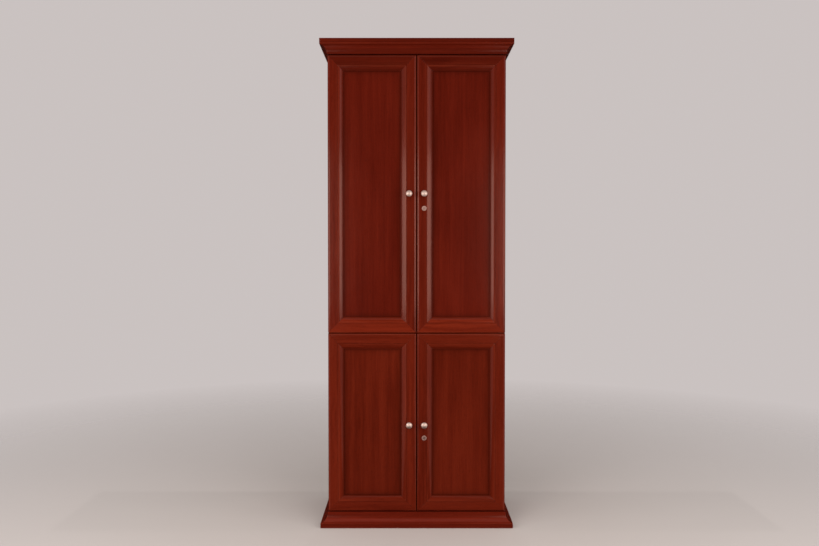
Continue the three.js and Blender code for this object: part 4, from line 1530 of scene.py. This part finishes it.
# The rod's front is its round bar, and its back is its thumb stud
def addBoltStrike(tier, board):
    low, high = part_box(f"{tier}_bolt_guide")
    x, y, level = (low.x + high.x) / 2, bolt["strikeMiddle"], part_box(board)[0].z
    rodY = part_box(f"{tier}_bolt_rod")[0].y + bolt["rodRadius"]
    wide, deep = bolt["strikeSize"]
    corners = [(-wide, -deep), (wide, -deep), (wide, deep), (-wide, deep)]
    hole = ringPoints(bolt["holeRadius"], bolt["holeSides"], (0, rodY - y))
    shell = plate(corners, [hole], bolt["strikeThickness"], lambda u, v, t: (x + u, y + v, level - t))
    strike = newPiece(f"{tier}_bolt_strike", shell)
    soften(strike, bolt["strikeSoftEdge"], bolt["strikeSoftAngle"])
    finish(strike, metal["fitting_nickel"], "carcass", "fitting_steel")
    across, radius = bolt["strikeScrew"]
    for way in (-1, 1):
        place = (x + way * across, y, level - bolt["strikeThickness"])
        screwPlaces["carcass"].append((place, down, radius))


for tier, board in (("upper", "top_board"), ("lower", "divider_board")):
    addBolt(tier)
    addBoltStrike(tier, board)
print("bolts made")

# Shelf pins: plated sleeves with a collar against the side
sleeve = {
    "profile": ((0, 0), (0.0045, 0), (0.0045, 0.0006), (0.0040, 0.0008), (0.00262, 0.0008), (0.00262, 0.0078),
                (0.0022, 0.0082), (0, 0.0082)),
    "drop": 0.0027,
    "setIn": 0.045,
    "sideThickness": 0.018,
    "sides": 32,
}


def addShelfPins():
    sideFace = -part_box("side_panel_left")[0].x - sleeve["sideThickness"]
    shells = []
    for node in [node for node in cadNodes if "shelf" in node]:
        low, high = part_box(node)
        for way in (-1, 1):
            for y in (low.y + sleeve["setIn"], high.y - sleeve["setIn"]):
                place = (way * sideFace, y, low.z - sleeve["drop"])
                shells.append(turned(sleeve["profile"], place, (-way, 0, 0), sleeve["sides"]))
    piece = newPiece("shelf_pin_sleeves", joined(*shells))
    finish(piece, metal["fitting_nickel"], "carcass", "fitting_steel")


addShelfPins()
print("shelf pins made")

# Nails that hold the back panel, in two columns and three rows
nails = {"radius": 0.0022, "columnInset": 0.0046, "columnPitch": 0.15, "rowPitch": 0.12, "endGap": 0.06}


def nailPlaces():
    low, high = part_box("back_panel")
    points = []
    tall = high.z - low.z - 2 * nails["endGap"]
    columnSteps = int(tall / nails["columnPitch"])
    for way in (-1, 1):
        for step in range(columnSteps + 1):
            z = low.z + nails["endGap"] + tall * step / columnSteps
            points.append((way * (high.x - nails["columnInset"]), high.y, z))
    rowSteps = int((high.x - low.x) / nails["rowPitch"])
    for board in ("bottom_board", "divider_board", "top_board"):
        for step in range(1, rowSteps):
            points.append((low.x + (high.x - low.x) * step / rowSteps, high.y, middleOf(board).z))
    return [(point, outwards, nails["radius"]) for point in points]


setHeads("back_panel_nails", nailPlaces(), nail, "carcass")
for body, places in screwPlaces.items():
    if places:
        setHeads(body + "_screws", places, screw, body)
for source in (screw, nail):
    bpy.data.objects.remove(source)
print("fasteners made")
